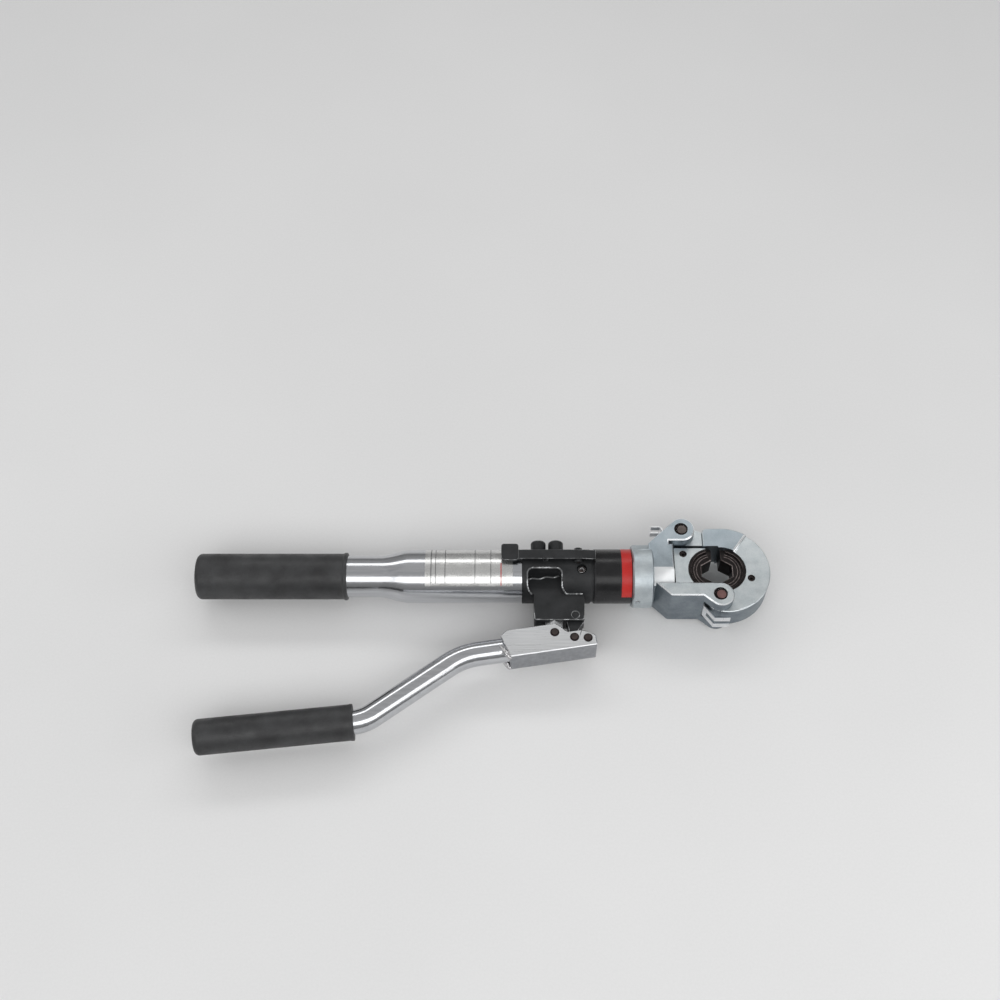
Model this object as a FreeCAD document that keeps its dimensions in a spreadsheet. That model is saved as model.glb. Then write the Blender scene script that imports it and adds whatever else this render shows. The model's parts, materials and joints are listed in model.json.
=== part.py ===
import FreeCAD, Part
import math
import os
import Sketcher

# Hand hydraulic crimping tool with a swivelling two-pin C head and a round die pair.
# X runs from the rear end of the fixed grip to the head, Y away from the pump lever, Z up.
# The origin is the rear end of the fixed grip, on the tool's axis. Millimetres and degrees.

os.makedirs("parts", exist_ok=True)
doc = FreeCAD.newDocument("crimping_tool")
sheet = doc.addObject("Spreadsheet::Sheet", "sizes")
subparts = []


class Dim:
    # A number together with the sheet formula that gives it.
    def __init__(self, value, formula):
        self.value = float(value)
        self.formula = formula

    def __add__(self, other):
        other = dim(other)
        return Dim(self.value + other.value, "(%s + %s)" % (self.formula, other.formula))

    def __radd__(self, other):
        return dim(other) + self

    def __sub__(self, other):
        other = dim(other)
        return Dim(self.value - other.value, "(%s - %s)" % (self.formula, other.formula))

    def __rsub__(self, other):
        return dim(other) - self

    def __mul__(self, other):
        other = dim(other)
        return Dim(self.value * other.value, "(%s * %s)" % (self.formula, other.formula))

    def __rmul__(self, other):
        return dim(other) * self

    def __truediv__(self, other):
        other = dim(other)
        return Dim(self.value / other.value, "(%s / %s)" % (self.formula, other.formula))

    def __neg__(self):
        return dim(0) - self


def dim(number):
    if isinstance(number, Dim):
        return number
    return Dim(number, "%.9g" % number if number >= 0 else "(%.9g)" % number)


sizes_made = []


def size(name, value, meaning):
    row = len(sizes_made) + 1
    sizes_made.append(name)
    sheet.set("A%d" % row, meaning)
    sheet.set("B%d" % row, "%.9g" % value)
    sheet.setAlias("B%d" % row, name)
    return Dim(value, "sizes.%s" % name)


def cosine(angle):
    return Dim(math.cos(math.radians(angle.value)), "cos(%s)" % angle.formula)


def sine(angle):
    return Dim(math.sin(math.radians(angle.value)), "sin(%s)" % angle.formula)


def tangent(angle):
    return Dim(math.tan(math.radians(angle.value)), "tan(%s)" % angle.formula)


def root(number):
    return Dim(math.sqrt(number.value), "sqrt(%s)" % number.formula)


# Fits and clearances
running_fit = size("running_fit", 0.08, "radial play of a pin or plunger in its bore")
seat_gap = size("seat_gap", 0.1, "play between pieces that are screwed or pressed together")
slide_gap = size("slide_gap", 0.35, "play beside a part that slides or turns")
edge_break = size("edge_break", 1.0, "small chamfers on turned pieces")
cut_margin = size("cut_margin", 1.0, "cuts run this far past the face they leave")

# Fixed handle and reservoir tube
grip_length = size("grip_length", 158.0, "fixed grip, end to end")
grip_radius = size("grip_radius", 24.0, "fixed grip outside")
grip_end_wall = size("grip_end_wall", 4.0, "closed rear end of both grips")
grip_round = size("grip_round", 5.0, "rounding of the rear edge of both grips")
grip_lip_radius = size("grip_lip_radius", 25.0, "raised lip at the front of the fixed grip")
grip_lip_width = size("grip_lip_width", 5.0, "width of the lip")
grip_lip_slope = size("grip_lip_slope", 3.0, "slope behind the lip of both grips")
tube_radius = size("tube_radius", 21.75, "narrow end of the reservoir tube")
tube_wall = size("tube_wall", 2.5, "wall of the reservoir tube")
bare_tube_length = size("bare_tube_length", 32.0, "narrow tube that shows past the grip")
taper_length = size("taper_length", 33.0, "swaged taper of the tube")
swage_round = size("swage_round", 110.0, "rounding of the taper's two corners")
wide_tube_radius = size("wide_tube_radius", 27.8, "wide end of the reservoir tube")
wide_tube_length = size("wide_tube_length", 118.0, "wide tube from the taper to the pump")
plug_length = size("plug_length", 12.0, "plug in the rear end of the tube")
plug_hole = size("plug_hole", 2.0, "breather hole of the plug")
plug_socket = size("plug_socket", 6.0, "radius of the socket in the plug")
plug_socket_depth = size("plug_socket_depth", 5.0, "depth of that socket")
bladder_radius = size("bladder_radius", 16.5, "rubber oil bladder, outside")
bladder_wall = size("bladder_wall", 1.6, "wall of the bladder")
bladder_tail_gap = size("bladder_tail_gap", 14.0, "room behind the bladder")
bladder_neck_radius = size("bladder_neck_radius", 9.0, "neck of the bladder on the pump's stem")
bladder_neck_length = size("bladder_neck_length", 14.0, "length of that neck")
clamp_width = size("clamp_width", 6.0, "clamp band on the bladder's neck")
clamp_wall = size("clamp_wall", 1.2, "thickness of the clamp band")
clamp_inset = size("clamp_inset", 2.0, "clamp band from the bladder's open end")

# Pump body
pump_length = size("pump_length", 74.0, "pump body between tube and barrel")
pump_radius = size("pump_radius", 28.4, "round part of the pump body")
pump_flange_width = size("pump_flange_width", 5.0, "ring of the pump body beside the tube")
spigot_length = size("spigot_length", 12.0, "threaded ends of the pump body")
front_step = size("front_step", 1.5, "step of the pump body down to the barrel")
front_step_width = size("front_step_width", 2.0, "lower ring of the pump body beside the barrel")
pump_stem_inset = size("pump_stem_inset", 2.0, "pump's stem ends inside the bladder's neck")
boss_start = size("boss_start", 12.0, "rear face of the pump boss from the tube")
boss_width = size("boss_width", 52.0, "width of the pump boss along the tool")
boss_reach = size("boss_reach", 56.0, "end of the boss from the tool's axis")
boss_half = size("boss_half", 11.0, "half the height of the boss")
boss_round = size("boss_round", 3.0, "rounded upright edges of the boss")
pocket_back = size("pocket_back", 4.5, "rear wall of the cast pocket, before the axis")
pocket_width = size("pocket_width", 36.0, "width of the cast pocket along the tool")
pocket_round = size("pocket_round", 6.0, "rounding of the pocket's corners")
plunger_radius = size("plunger_radius", 6.0, "pump plunger")
plunger_offset = size("plunger_offset", 32.5, "plunger's axis from the pump body's rear face")
plunger_bore_end = size("plunger_bore_end", 6.0, "closed end of the plunger bore")
plunger_end_room = size("plunger_end_room", 5.0, "room between plunger and bore end")
gland_radius = size("gland_radius", 8.8, "threaded part of the gland nut")
gland_depth = size("gland_depth", 10.0, "threaded length of the gland nut")
gland_flats = size("gland_flats", 18.0, "gland nut across its flats")
gland_head = size("gland_head", 6.0, "hexagon of the gland nut")
seal_width = size("seal_width", 2.4, "width of the plunger seal")
cap_radius = size("cap_radius", 8.0, "valve caps on the back of the pump")
cap_reach = size("cap_reach", 40.0, "outer face of the valve caps from the axis")
cap_first = size("cap_first", 17.5, "first valve cap from the pump body's rear face")
cap_pitch = size("cap_pitch", 18.5, "distance between the two valve caps")
cap_stem_radius = size("cap_stem_radius", 5.0, "threaded stem of a valve cap")
cap_stem_length = size("cap_stem_length", 9.0, "length of that stem")
cap_seat = size("cap_seat", 27.0, "flat seat of the caps from the axis")
cap_seat_room = size("cap_seat_room", 2.0, "flat seat around the caps")
cap_socket_radius = size("cap_socket_radius", 2.8, "hexagon socket of a valve cap")
cap_socket_depth = size("cap_socket_depth", 5.0, "depth of that socket")
ball_radius = size("ball_radius", 2.8, "check valve balls")
ball_lift = size("ball_lift", 0.2, "check valve balls off the floor of their bore")
valve_room = size("valve_room", 1.0, "thread of a valve bore past the cap's stem")
ball_travel = size("ball_travel", 0.5, "stem of a valve cap off its ball's bore")
valve_port_radius = size("valve_port_radius", 1.4, "drilled oil passages")
top_screw_offset = size("top_screw_offset", 61.5, "screw pocket from the pump's rear face")
top_screw_side = size("top_screw_side", 5.5, "screw pocket before the axis")
top_screw_pocket = size("top_screw_pocket", 5.2, "radius of the screw pocket")
top_screw_floor = size("top_screw_floor", 22.5, "floor of the screw pocket above the axis")
top_screw_radius = size("top_screw_radius", 3.8, "head of the screw in the pocket")
top_screw_head = size("top_screw_head", 3.2, "height of that head")
top_screw_thread = size("top_screw_thread", 2.1, "thread of the screw in the pocket")
top_screw_length = size("top_screw_length", 7.0, "length of that thread")
top_screw_socket = size("top_screw_socket", 1.8, "depth of that screw's socket")

# Pump lever linkage
link_pivot_x = size("link_pivot_x", 54.5, "link's fixed pivot from the pump's rear face")
link_pivot_reach = size("link_pivot_reach", 50.0, "link's fixed pivot from the axis")
link_pin_radius = size("link_pin_radius", 3.5, "pin of that pivot")
link_half = size("link_half", 6.0, "half the thickness of the link")
link_foot_radius = size("link_foot_radius", 9.0, "eye of the link in the boss")
link_eye_radius = size("link_eye_radius", 8.2, "eye of the link in the lever bracket")
link_shank_half = size("link_shank_half", 5.0, "half the width of the link's shank")
link_shoulder = size("link_shoulder", 6.0, "straight sides of the link past its foot pin")
link_shank_start = size("link_shank_start", 13.1, "straight shank of the link before the lever pivot")
link_slot_depth = size("link_slot_depth", 20.0, "depth of the slot for the link")
lever_pivot_back = size("lever_pivot_back", 2.0, "lever pivot behind the link's fixed pivot")
lever_pivot_drop = size("lever_pivot_drop", 27.7, "lever pivot beyond the link's fixed pivot")
lever_pin_radius = size("lever_pin_radius", 4.6, "pins of the lever bracket")
shank_angle = size("shank_angle", 8.9, "slope of the bracket and of the tube's shank")
eye_back = size("eye_back", 20.0, "plunger pin behind the lever pivot")
eye_rise = size("eye_rise", 5.3, "plunger pin above the lever pivot")
eye_half_width = size("eye_half_width", 8.5, "half the width of the plunger's eye")
eye_half_length = size("eye_half_length", 7.6, "half the length of the plunger's eye")
eye_half = size("eye_half", 6.0, "half the thickness of the plunger's eye")
eye_round = size("eye_round", 4.0, "rounded corners of the plunger's eye")
eye_slot_travel = size("eye_slot_travel", 1.3, "sideways play of the pin in the plunger's eye")
eye_slot_play = size("eye_slot_play", 0.3, "play of that pin along the plunger")
stop_pin_ahead = size("stop_pin_ahead", 13.5, "stop pin ahead of the lever pivot")
stop_pin_drop = size("stop_pin_drop", 2.9, "stop pin below the line of the bracket")
bracket_half = size("bracket_half", 16.0, "half the height of the bracket")
bracket_wall = size("bracket_wall", 3.0, "sheet of the bracket")
bracket_web = size("bracket_web", 12.2, "outer face of the web from the lever pivot")
bracket_length = size("bracket_length", 67.0, "web of the bracket behind the pivot")
bracket_nose = size("bracket_nose", 21.8, "bracket ahead of the lever pivot")
bracket_nose_height = size("bracket_nose_height", 11.6, "front edge of the bracket's cheeks")
bracket_front_flat = size("bracket_front_flat", 8.8, "low flat of the cheeks ahead of the lever pivot")
bracket_rear_flat = size("bracket_rear_flat", 6.0, "the same flat behind the pivot")
bracket_low_edge = size("bracket_low_edge", 7.0, "that flat above the pivot")
bracket_step_run = size("bracket_step_run", 10.4, "slope from the low to the high edge")
bracket_high_edge = size("bracket_high_edge", 18.2, "high edge of the cheeks above the pivot")
bracket_tail_reach = size("bracket_tail_reach", 7.1, "rear point of the cheeks past the web")
bracket_tail_drop = size("bracket_tail_drop", 5.3, "that point below the high edge")
bracket_bend = size("bracket_bend", 2.5, "outer bend radius of the bracket's sheet")
bracket_round = size("bracket_round", 3.0, "rounded corners of the cheeks")
pin_head_radius = size("pin_head_radius", 6.2, "heads and rings of the bracket pins")
pin_head_height = size("pin_head_height", 1.2, "height of those heads and rings")
lever_tube_radius = size("lever_tube_radius", 12.5, "lever tube outside")
lever_tube_wall = size("lever_tube_wall", 2.0, "wall of the lever tube")
lever_seat_gap = size("lever_seat_gap", 0.3, "weld gap between tube and web")
tube_inset = size("tube_inset", 44.0, "front end of the lever tube behind the pivot")
shank_length = size("shank_length", 71.8, "shank of the lever tube, to its first corner")
drop_length = size("drop_length", 119.5, "sloping run of the lever tube")
drop_angle = size("drop_angle", 36.2, "slope of that run")
tail_angle = size("tail_angle", 5.96, "slope of the tail")
first_bend = size("first_bend", 70.0, "radius of the bend after the shank")
second_bend = size("second_bend", 40.0, "radius of the bend before the grip")
lever_grip_radius = size("lever_grip_radius", 18.0, "lever grip outside")
lever_grip_length = size("lever_grip_length", 158.0, "lever grip, end to end")
lever_grip_start = size("lever_grip_start", 9.85, "front of the lever grip from the corner")
lever_lip_rise = size("lever_lip_rise", 0.8, "height of the lever grip's lip")

# Pressure release
release_side = size("release_side", 8.6, "release lever's centre line behind the axis")
release_width = size("release_width", 10.4, "width of the release lever")
release_sheet = size("release_sheet", 2.4, "thickness of the release lever")
release_bottom = size("release_bottom", 31.2, "underside of the release lever above the axis")
release_reach = size("release_reach", 80.0, "thumb pad's far edge from the release pivot")
pad_length = size("pad_length", 18.0, "thumb pad along the tool")
pad_width = size("pad_width", 19.0, "thumb pad across the tool")
pad_shift = size("pad_shift", 2.4, "thumb pad's centre behind that of the lever")
pad_thickness = size("pad_thickness", 3.0, "thickness of the thumb pad")
pad_rise = size("pad_rise", 0.6, "thumb pad above the strip")
pad_overlap = size("pad_overlap", 2.0, "strip's end under the thumb pad")
pad_round = size("pad_round", 3.0, "rounded corners of the thumb pad")
release_pivot_x = size("release_pivot_x", 58.0, "release pivot from the pump's rear face")
release_pivot_z = size("release_pivot_z", 29.6, "release pivot above the axis")
release_pin_radius = size("release_pin_radius", 1.7, "pin of the release lever")
release_eye = size("release_eye", 2.9, "radius of the release lever's eye")
release_tail = size("release_tail", 18.0, "bent tail of the release lever past its pivot")
tail_drop = size("tail_drop", 1.3, "drop of that tail")
tail_bend = size("tail_bend", 2.0, "bend of that tail past the eye")
lug_wall = size("lug_wall", 2.6, "lugs beside the release lever")
lug_side = size("lug_side", 1.0, "lugs wider than the release lever's eye, each side")
lug_edge = size("lug_edge", 2.0, "chamfered corners of the lugs")
lug_root = size("lug_root", 10.0, "lugs reach this deep into the pump body")
lane_room = size("lane_room", 2.0, "room of the release lever ahead of the lugs and behind")
stem_offset = size("stem_offset", 34.0, "release stem from the release pivot")
stem_radius = size("stem_radius", 2.6, "release stem")
stem_head_radius = size("stem_head_radius", 4.6, "head of the release stem")
stem_head_height = size("stem_head_height", 1.8, "height of that head")
stem_foot = size("stem_foot", 13.0, "lower end of the release stem above the axis")
stem_room = size("stem_room", 2.0, "room under the release stem")
stem_tip = size("stem_tip", 1.4, "cone at the foot of the release stem")
spring_seat = size("spring_seat", 20.0, "floor of the release spring's bore")
release_spring_wire = size("release_spring_wire", 0.9, "wire of the release spring")
release_spring_turns = size("release_spring_turns", 3.0, "turns of the release spring")

# Cylinder and swivel
barrel_length = size("barrel_length", 40.0, "barrel that shows between pump and head")
barrel_radius = size("barrel_radius", 28.5, "barrel outside")
bore_radius = size("bore_radius", 20.0, "cylinder bore")
thread_radius = size("thread_radius", 24.0, "thread of the pump body in the barrel")
nose_radius = size("nose_radius", 24.0, "nose of the barrel inside the head")
nose_length = size("nose_length", 16.0, "length of that nose")
swivel_ring_width = size("swivel_ring_width", 2.4, "retaining ring of the swivel")
swivel_ring_depth = size("swivel_ring_depth", 1.3, "depth of its grooves, each side")
swivel_ring_place = size("swivel_ring_place", 9.0, "ring from the barrel's shoulder")
swivel_slit = size("swivel_slit", 3.0, "slit of the retaining ring")
piston_length = size("piston_length", 12.0, "piston")
piston_rest_gap = size("piston_rest_gap", 1.0, "oil room behind the piston at rest")
piston_seal_width = size("piston_seal_width", 3.4, "seal of the piston")
piston_seal_depth = size("piston_seal_depth", 2.4, "groove of that seal")
rod_radius = size("rod_radius", 14.0, "piston rod")
stud_radius = size("stud_radius", 8.0, "threaded end of the rod in the die holder")
stud_length = size("stud_length", 10.0, "length of that end")
stud_room = size("stud_room", 0.5, "room past that end in the die holder")
spring_radius = size("spring_radius", 17.2, "return spring, middle of the wire")
spring_wire = size("spring_wire", 2.8, "wire of the return spring")
spring_turns = size("spring_turns", 4.0, "turns of the return spring")

# Head
collar_radius = size("collar_radius", 33.0, "collar of the head")
collar_length = size("collar_length", 22.0, "length of the collar")
collar_edge = size("collar_edge", 1.5, "chamfer of the collar")
neck_length = size("neck_length", 21.3, "neck between the collar and the fork's root")
head_half = size("head_half", 28.5, "half the height of the fork")
neck_ridge = size("neck_ridge", 3.7, "edge of the neck's slope, before the axis")
neck_slope_drop = size("neck_slope_drop", 8.5, "drop of the neck's slope")
neck_back = size("neck_back", 24.2, "back side of the neck from the axis")
slot_half = size("slot_half", 15.0, "half the height of die holder and jaw")
ear_radius = size("ear_radius", 13.2, "ears of the fork")
knuckle_radius = size("knuckle_radius", 12.9, "eyes of the jaw")
pin_radius = size("pin_radius", 6.0, "hinge pin and latch pin")
pin_recess = size("pin_recess", 1.2, "pin ends below the ears' faces")
pin_recess_depth = size("pin_recess_depth", 1.8, "depth of the recess around a pin's end")
pin_recess_radius = size("pin_recess_radius", 7.2, "recess around the pin ends")
pin_recess_shift = size("pin_recess_shift", 1.0, "recess set off from the pin")
pin_foot_radius = size("pin_foot_radius", 8.5, "foot of the two pins under the head")
pin_foot_height = size("pin_foot_height", 2.5, "height of that foot")
hinge_x = size("hinge_x", 46.6, "hinge pin from the fork's root")
hinge_y = size("hinge_y", 34.6, "hinge pin before the axis")
latch_x = size("latch_x", 10.6, "latch pin from the fork's root")
latch_y = size("latch_y", 41.4, "latch pin behind the axis")
front_arm_face = size("front_arm_face", 36.4, "outer face of the front arm")
front_slot_root = size("front_slot_root", 29.7, "root of the jaw's slot from the fork's root")
back_slot_root = size("back_slot_root", 5.3, "root of the tongue's slot before the fork's root")
ear_shoulder_angle = size("ear_shoulder_angle", 39.7, "shoulder between the front arm and its ear")
arm_start = size("arm_start", 4.0, "arms begin inside the collar")
fork_round = size("fork_round", 4.0, "rounded corner of the front arm")
front_arm_start = size("front_arm_start", 1.8, "flare of the front arm from the collar")
slot_relief = size("slot_relief", 0.4, "undercut of the die holder's slot below the neck")
back_arm_inner = size("back_arm_inner", 28.2, "inner edge of the back arm's plates")
back_arm_step = size("back_arm_step", 4.3, "step of that edge before the fork's root")
back_arm_root = size("back_arm_root", 12.0, "root of the back arm from the axis")
flank_angle = size("flank_angle", 45.0, "slope of the back arm's flank")
set_screw_x = size("set_screw_x", 5.5, "set screw from the collar's rear face")
set_screw_z = size("set_screw_z", 5.0, "set screw above the axis")
set_screw_radius = size("set_screw_radius", 2.4, "set screw")
set_screw_length = size("set_screw_length", 6.0, "length of the set screw")
set_screw_inset = size("set_screw_inset", 1.0, "set screw below the collar's surface")
set_screw_socket = size("set_screw_socket", 1.2, "socket of the set screw")
set_screw_socket_depth = size("set_screw_socket_depth", 2.0, "depth of that socket")

# Die holder, jaw and dies
die_radius = size("die_radius", 25.3, "die halves outside")
die_half = size("die_half", 14.5, "half the height of a die")
die_rim = size("die_rim", 3.5, "rim of a die")
die_dish = size("die_dish", 2.2, "dish inside the rim")
die_flats = size("die_flats", 22.5, "hexagon of the closed dies across its flats")
die_groove = size("die_groove", 1.4, "depth of the groove around a die")
die_groove_half = size("die_groove_half", 1.6, "half the width of that groove")
die_notch = size("die_notch", 5.0, "notches at the ends of a die's rim")
die_gap = size("die_gap", 9.7, "gap between the die halves at rest")
die_centre_x = size("die_centre_x", 41.4, "moving die's face from the fork's root")
holder_half_width = size("holder_half_width", 26.6, "half the width of the die holder")
holder_rear_gap = size("holder_rear_gap", 0.4, "gap behind the die holder")
holder_tip = size("holder_tip", 5.7, "tips of the die holder behind the die's face")
holder_edge = size("holder_edge", 2.0, "chamfer of the die holder's rear corners")
throat_gap = size("throat_gap", 0.4, "play beside the die holder in the jaw and the arm")
jaw_radius = size("jaw_radius", 48.5, "outer arc of the jaw")
jaw_centre_shift = size("jaw_centre_shift", 2.1, "centre of that arc past the fixed die's face")
jaw_shoulder = size("jaw_shoulder", 18.4, "jaw's shoulder behind the fixed die's face")
jaw_shoulder_round = size("jaw_shoulder_round", 6.0, "rounding of the jaw's shoulder")
jaw_edge = size("jaw_edge", 1.2, "chamfer of the jaw's outer arc")
jaw_pad = size("jaw_pad", 2.6, "thicker part of the jaw above its face, each side")
jaw_pad_angle = size("jaw_pad_angle", 55.0, "end of the thicker part around the die's centre")
throat_step = size("throat_step", 2.0, "throat of the jaw ends before the fixed die's face")
tongue_drop = size("tongue_drop", 3.8, "tongue's edge below the jaw's top")
tongue_angle = size("tongue_angle", 64.6, "where that edge leaves the tongue's eye")
die_pin_radius = size("die_pin_radius", 2.5, "spring pins that hold the dies")
die_pin_bore = size("die_pin_bore", 1.4, "bore of the spring pins")
die_pin_recess = size("die_pin_recess", 1.5, "ends of those pins below the face")
die_pin_slot = size("die_pin_slot", 0.8, "slit of those pins")
holder_pin_x = size("holder_pin_x", 29.7, "die holder's pin behind the moving die's face")
holder_pin_y = size("holder_pin_y", 18.8, "die holder's pin behind the axis")
jaw_pin_x = size("jaw_pin_x", 30.0, "jaw's pin past the fixed die's face")
jaw_pin_y = size("jaw_pin_y", 9.7, "jaw's pin before the axis")
leaf_sheet = size("leaf_sheet", 1.5, "sheet of the two leaf springs")
leaf_half = size("leaf_half", 10.0, "half the height of the leaf springs")
leaf_root_gap = size("leaf_root_gap", 0.1, "leaf springs from the root of their slot")
leaf_tuck = size("leaf_tuck", 5.0, "front leaf spring's root behind the arm's face")
front_leaf_reach = size("front_leaf_reach", 53.5, "front leaf spring from the axis")
front_leaf_stand = size("front_leaf_stand", 3.0, "straight part of the front leaf spring")
front_leaf_run = size("front_leaf_run", 10.0, "slope of the front leaf spring along the tool")
front_leaf_tip = size("front_leaf_tip", 56.5, "tip of the front leaf spring from the fork's root")
back_leaf_reach = size("back_leaf_reach", 54.5, "back leaf spring from the axis")
back_leaf_root = size("back_leaf_root", 34.0, "root of the back leaf spring from the axis")
back_leaf_bend = size("back_leaf_bend", 46.0, "its bend from the axis")
back_leaf_run = size("back_leaf_run", 5.5, "slope of the back leaf spring along the tool")
back_leaf_tip = size("back_leaf_tip", 19.5, "tip of the back leaf spring before the fork's root")

# Stations along the axis
taper_start = grip_length + bare_tube_length
wide_start = taper_start + taper_length
pump_start = wide_start + wide_tube_length
barrel_start = pump_start + pump_length
head_start = barrel_start + barrel_length
neck_start = head_start + collar_length
fork_root = neck_start + neck_length
moving_face = fork_root + die_centre_x
fixed_face = moving_face + die_gap


def bind(thing, path, value):
    value = dim(value)
    thing.setExpression(path, value.formula)


def new_body(label):
    body = doc.addObject("PartDesign::Body", label)
    body.Label = label
    subparts.append(body)
    return body


def place(body, x=0, y=0, z=0, angle=None):
    if angle is not None:
        body.Placement = FreeCAD.Placement(
            FreeCAD.Vector(0, 0, 0), FreeCAD.Rotation(FreeCAD.Vector(0, 0, 1), angle.value))
        bind(body, "Placement.Rotation.Angle", angle)
    bind(body, "Placement.Base.x", x)
    bind(body, "Placement.Base.y", y)
    bind(body, "Placement.Base.z", z)


def new_sketch(body, role, offset=0):
    sketch = body.newObject("Sketcher::SketchObject", body.Label + "_sketch")
    plane = [item for item in body.Origin.OriginFeatures if item.Role == role][0]
    sketch.AttachmentSupport = (plane, [""])
    sketch.MapMode = "FlatFace"
    bind(sketch, "AttachmentOffset.Base.z", offset)
    return sketch


def fix(sketch, kind, value, *place_of):
    value = dim(value)
    number = sketch.addConstraint(Sketcher.Constraint(kind, *place_of, value.value))
    sketch.setExpression("Constraints[%d]" % number, value.formula)


def pin_point(sketch, geometry, point, x, y):
    fix(sketch, "DistanceX", x, -1, 1, geometry, point)
    fix(sketch, "DistanceY", y, -1, 1, geometry, point)


def vector(x, y):
    return FreeCAD.Vector(dim(x).value, dim(y).value, 0)


def polygon(sketch, points):
    first = sketch.GeometryCount
    count = len(points)
    for i in range(count):
        start = vector(*points[i])
        end = vector(*points[(i + 1) % count])
        sketch.addGeometry(Part.LineSegment(start, end), False)
    for i in range(count):
        following = first + (i + 1) % count
        sketch.addConstraint(Sketcher.Constraint("Coincident", first + i, 2, following, 1))
    for i in range(count):
        pin_point(sketch, first + i, 1, *points[i])


def circle(sketch, x, y, radius):
    ring = Part.Circle(vector(x, y), FreeCAD.Vector(0, 0, 1), dim(radius).value)
    geometry = sketch.addGeometry(ring, False)
    pin_point(sketch, geometry, 3, x, y)
    fix(sketch, "Radius", radius, geometry)


def extrude(body, role, start, end, draw, cut=False):
    # The XZ plane looks along -Y, so there the sketch lies on the far side.
    length = end - start
    offset = -end if role == "XZ_Plane" else start
    sketch = new_sketch(body, role, offset)
    draw(sketch)
    if cut:
        before = body.Shape.Volume
        feature = body.newObject("PartDesign::Pocket", body.Label + "_cut")
        feature.Reversed = True
    else:
        feature = body.newObject("PartDesign::Pad", body.Label + "_pad")
    feature.Profile = sketch
    bind(feature, "Length", length)
    doc.recompute()
    if cut and body.Shape.Volume >= before - 1e-3:
        raise RuntimeError("a cut in %s takes nothing away" % body.Label)


def prism(body, role, start, end, points, cut=False):
    extrude(body, role, dim(start), dim(end), lambda sketch: polygon(sketch, points), cut)


def disc(body, role, start, end, x, y, radius, cut=False):
    extrude(body, role, dim(start), dim(end), lambda sketch: circle(sketch, x, y, radius), cut)


def box_points(x0, x1, y0, y1):
    return [(x0, y0), (x1, y0), (x1, y1), (x0, y1)]


def revolve(body, points, role="XY_Plane", axis="H_Axis", cut=False):
    sketch = new_sketch(body, role)
    polygon(sketch, points)
    kind = "PartDesign::Groove" if cut else "PartDesign::Revolution"
    feature = body.newObject(kind, body.Label + "_turn")
    feature.Profile = sketch
    feature.ReferenceAxis = (sketch, [axis])
    feature.Angle = 360
    doc.recompute()


def upright(body, points):
    # Turned about the body's own Z axis, from points of radius and height.
    revolve(body, points, "XZ_Plane", "V_Axis")


def dress_edges(body, kind, role, amount, pickers):
    doc.recompute()
    base = body.Tip
    names = ["Edge%d" % (i + 1) for i, edge in enumerate(base.Shape.Edges)
             if any(chosen(edge) for chosen in pickers)]
    if not names:
        raise RuntimeError("no edge to dress on %s" % body.Label)
    feature = body.newObject("PartDesign::" + kind, body.Label + "_" + kind.lower())
    feature.Base = (base, names)
    bind(feature, role, amount)
    doc.recompute()


def round_edges(body, radius, *pickers):
    dress_edges(body, "Fillet", "Radius", radius, pickers)


def chamfer_edges(body, width, *pickers):
    dress_edges(body, "Chamfer", "Size", width, pickers)


def ring_at(x, radius):
    # Picks the round edge about the X axis at one station.
    def chosen(edge):
        curve = edge.Curve
        return (isinstance(curve, Part.Circle) and abs(curve.Radius - dim(radius).value) < 0.01
                and abs(curve.Center.x - dim(x).value) < 0.01)
    return chosen


def arc_of(radius):
    # Picks the level arcs of one radius that face up or down.
    def chosen(edge):
        curve = edge.Curve
        return (isinstance(curve, Part.Circle) and abs(curve.Radius - dim(radius).value) < 0.01
                and abs(curve.Axis.z) > 0.99)
    return chosen


def lies_along(y, z):
    # Picks the edges that run along X at one height and depth, above and below alike.
    def chosen(edge):
        ends = [vertex.Point for vertex in edge.Vertexes]
        return len(ends) == 2 and all(
            abs(p.y - dim(y).value) < 0.01 and abs(abs(p.z) - dim(z).value) < 0.01 for p in ends)
    return chosen


def stands_at(x, y):
    # Picks the upright edge of a prism at one corner of its outline.
    def chosen(edge):
        ends = [vertex.Point for vertex in edge.Vertexes]
        return len(ends) == 2 and all(
            abs(p.x - dim(x).value) < 0.01 and abs(p.y - dim(y).value) < 0.01 for p in ends)
    return chosen


def turned_ring(label, x0, x1, inner, outer):
    body = new_body(label)
    revolve(body, [(x0, inner), (x1, inner), (x1, outer), (x0, outer)])
    return body


def hexagon(across, centre_x=0, centre_y=0, turn=0):
    corner = dim(across) / 2 / cosine(dim(30))
    points = []
    for i in range(6):
        angle = dim(60.0 * i + turn)
        points.append((centre_x + corner * cosine(angle), centre_y + corner * sine(angle)))
    return points


def bracket_point(x, y):
    # From the bracket's own frame, with its origin at the lever pivot, to the tool's.
    c = cosine(shank_angle)
    s = sine(shank_angle)
    return lever_x + x * c - y * s, lever_y + x * s + y * c


# The lever tube ends inside the closed end of its grip.
tail_length = lever_grip_start + lever_grip_length - grip_end_wall - seat_gap

# Places of the linkage
plunger_x = pump_start + plunger_offset
foot_x = pump_start + link_pivot_x
foot_y = -link_pivot_reach
lever_x = foot_x - lever_pivot_back
lever_y = foot_y - lever_pivot_drop
eye_y = lever_y + eye_rise
hinge_pin_x = fork_root + hinge_x
hinge_pin_y = -hinge_y
latch_pin_x = fork_root + latch_x
latch_pin_y = latch_y


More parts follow.
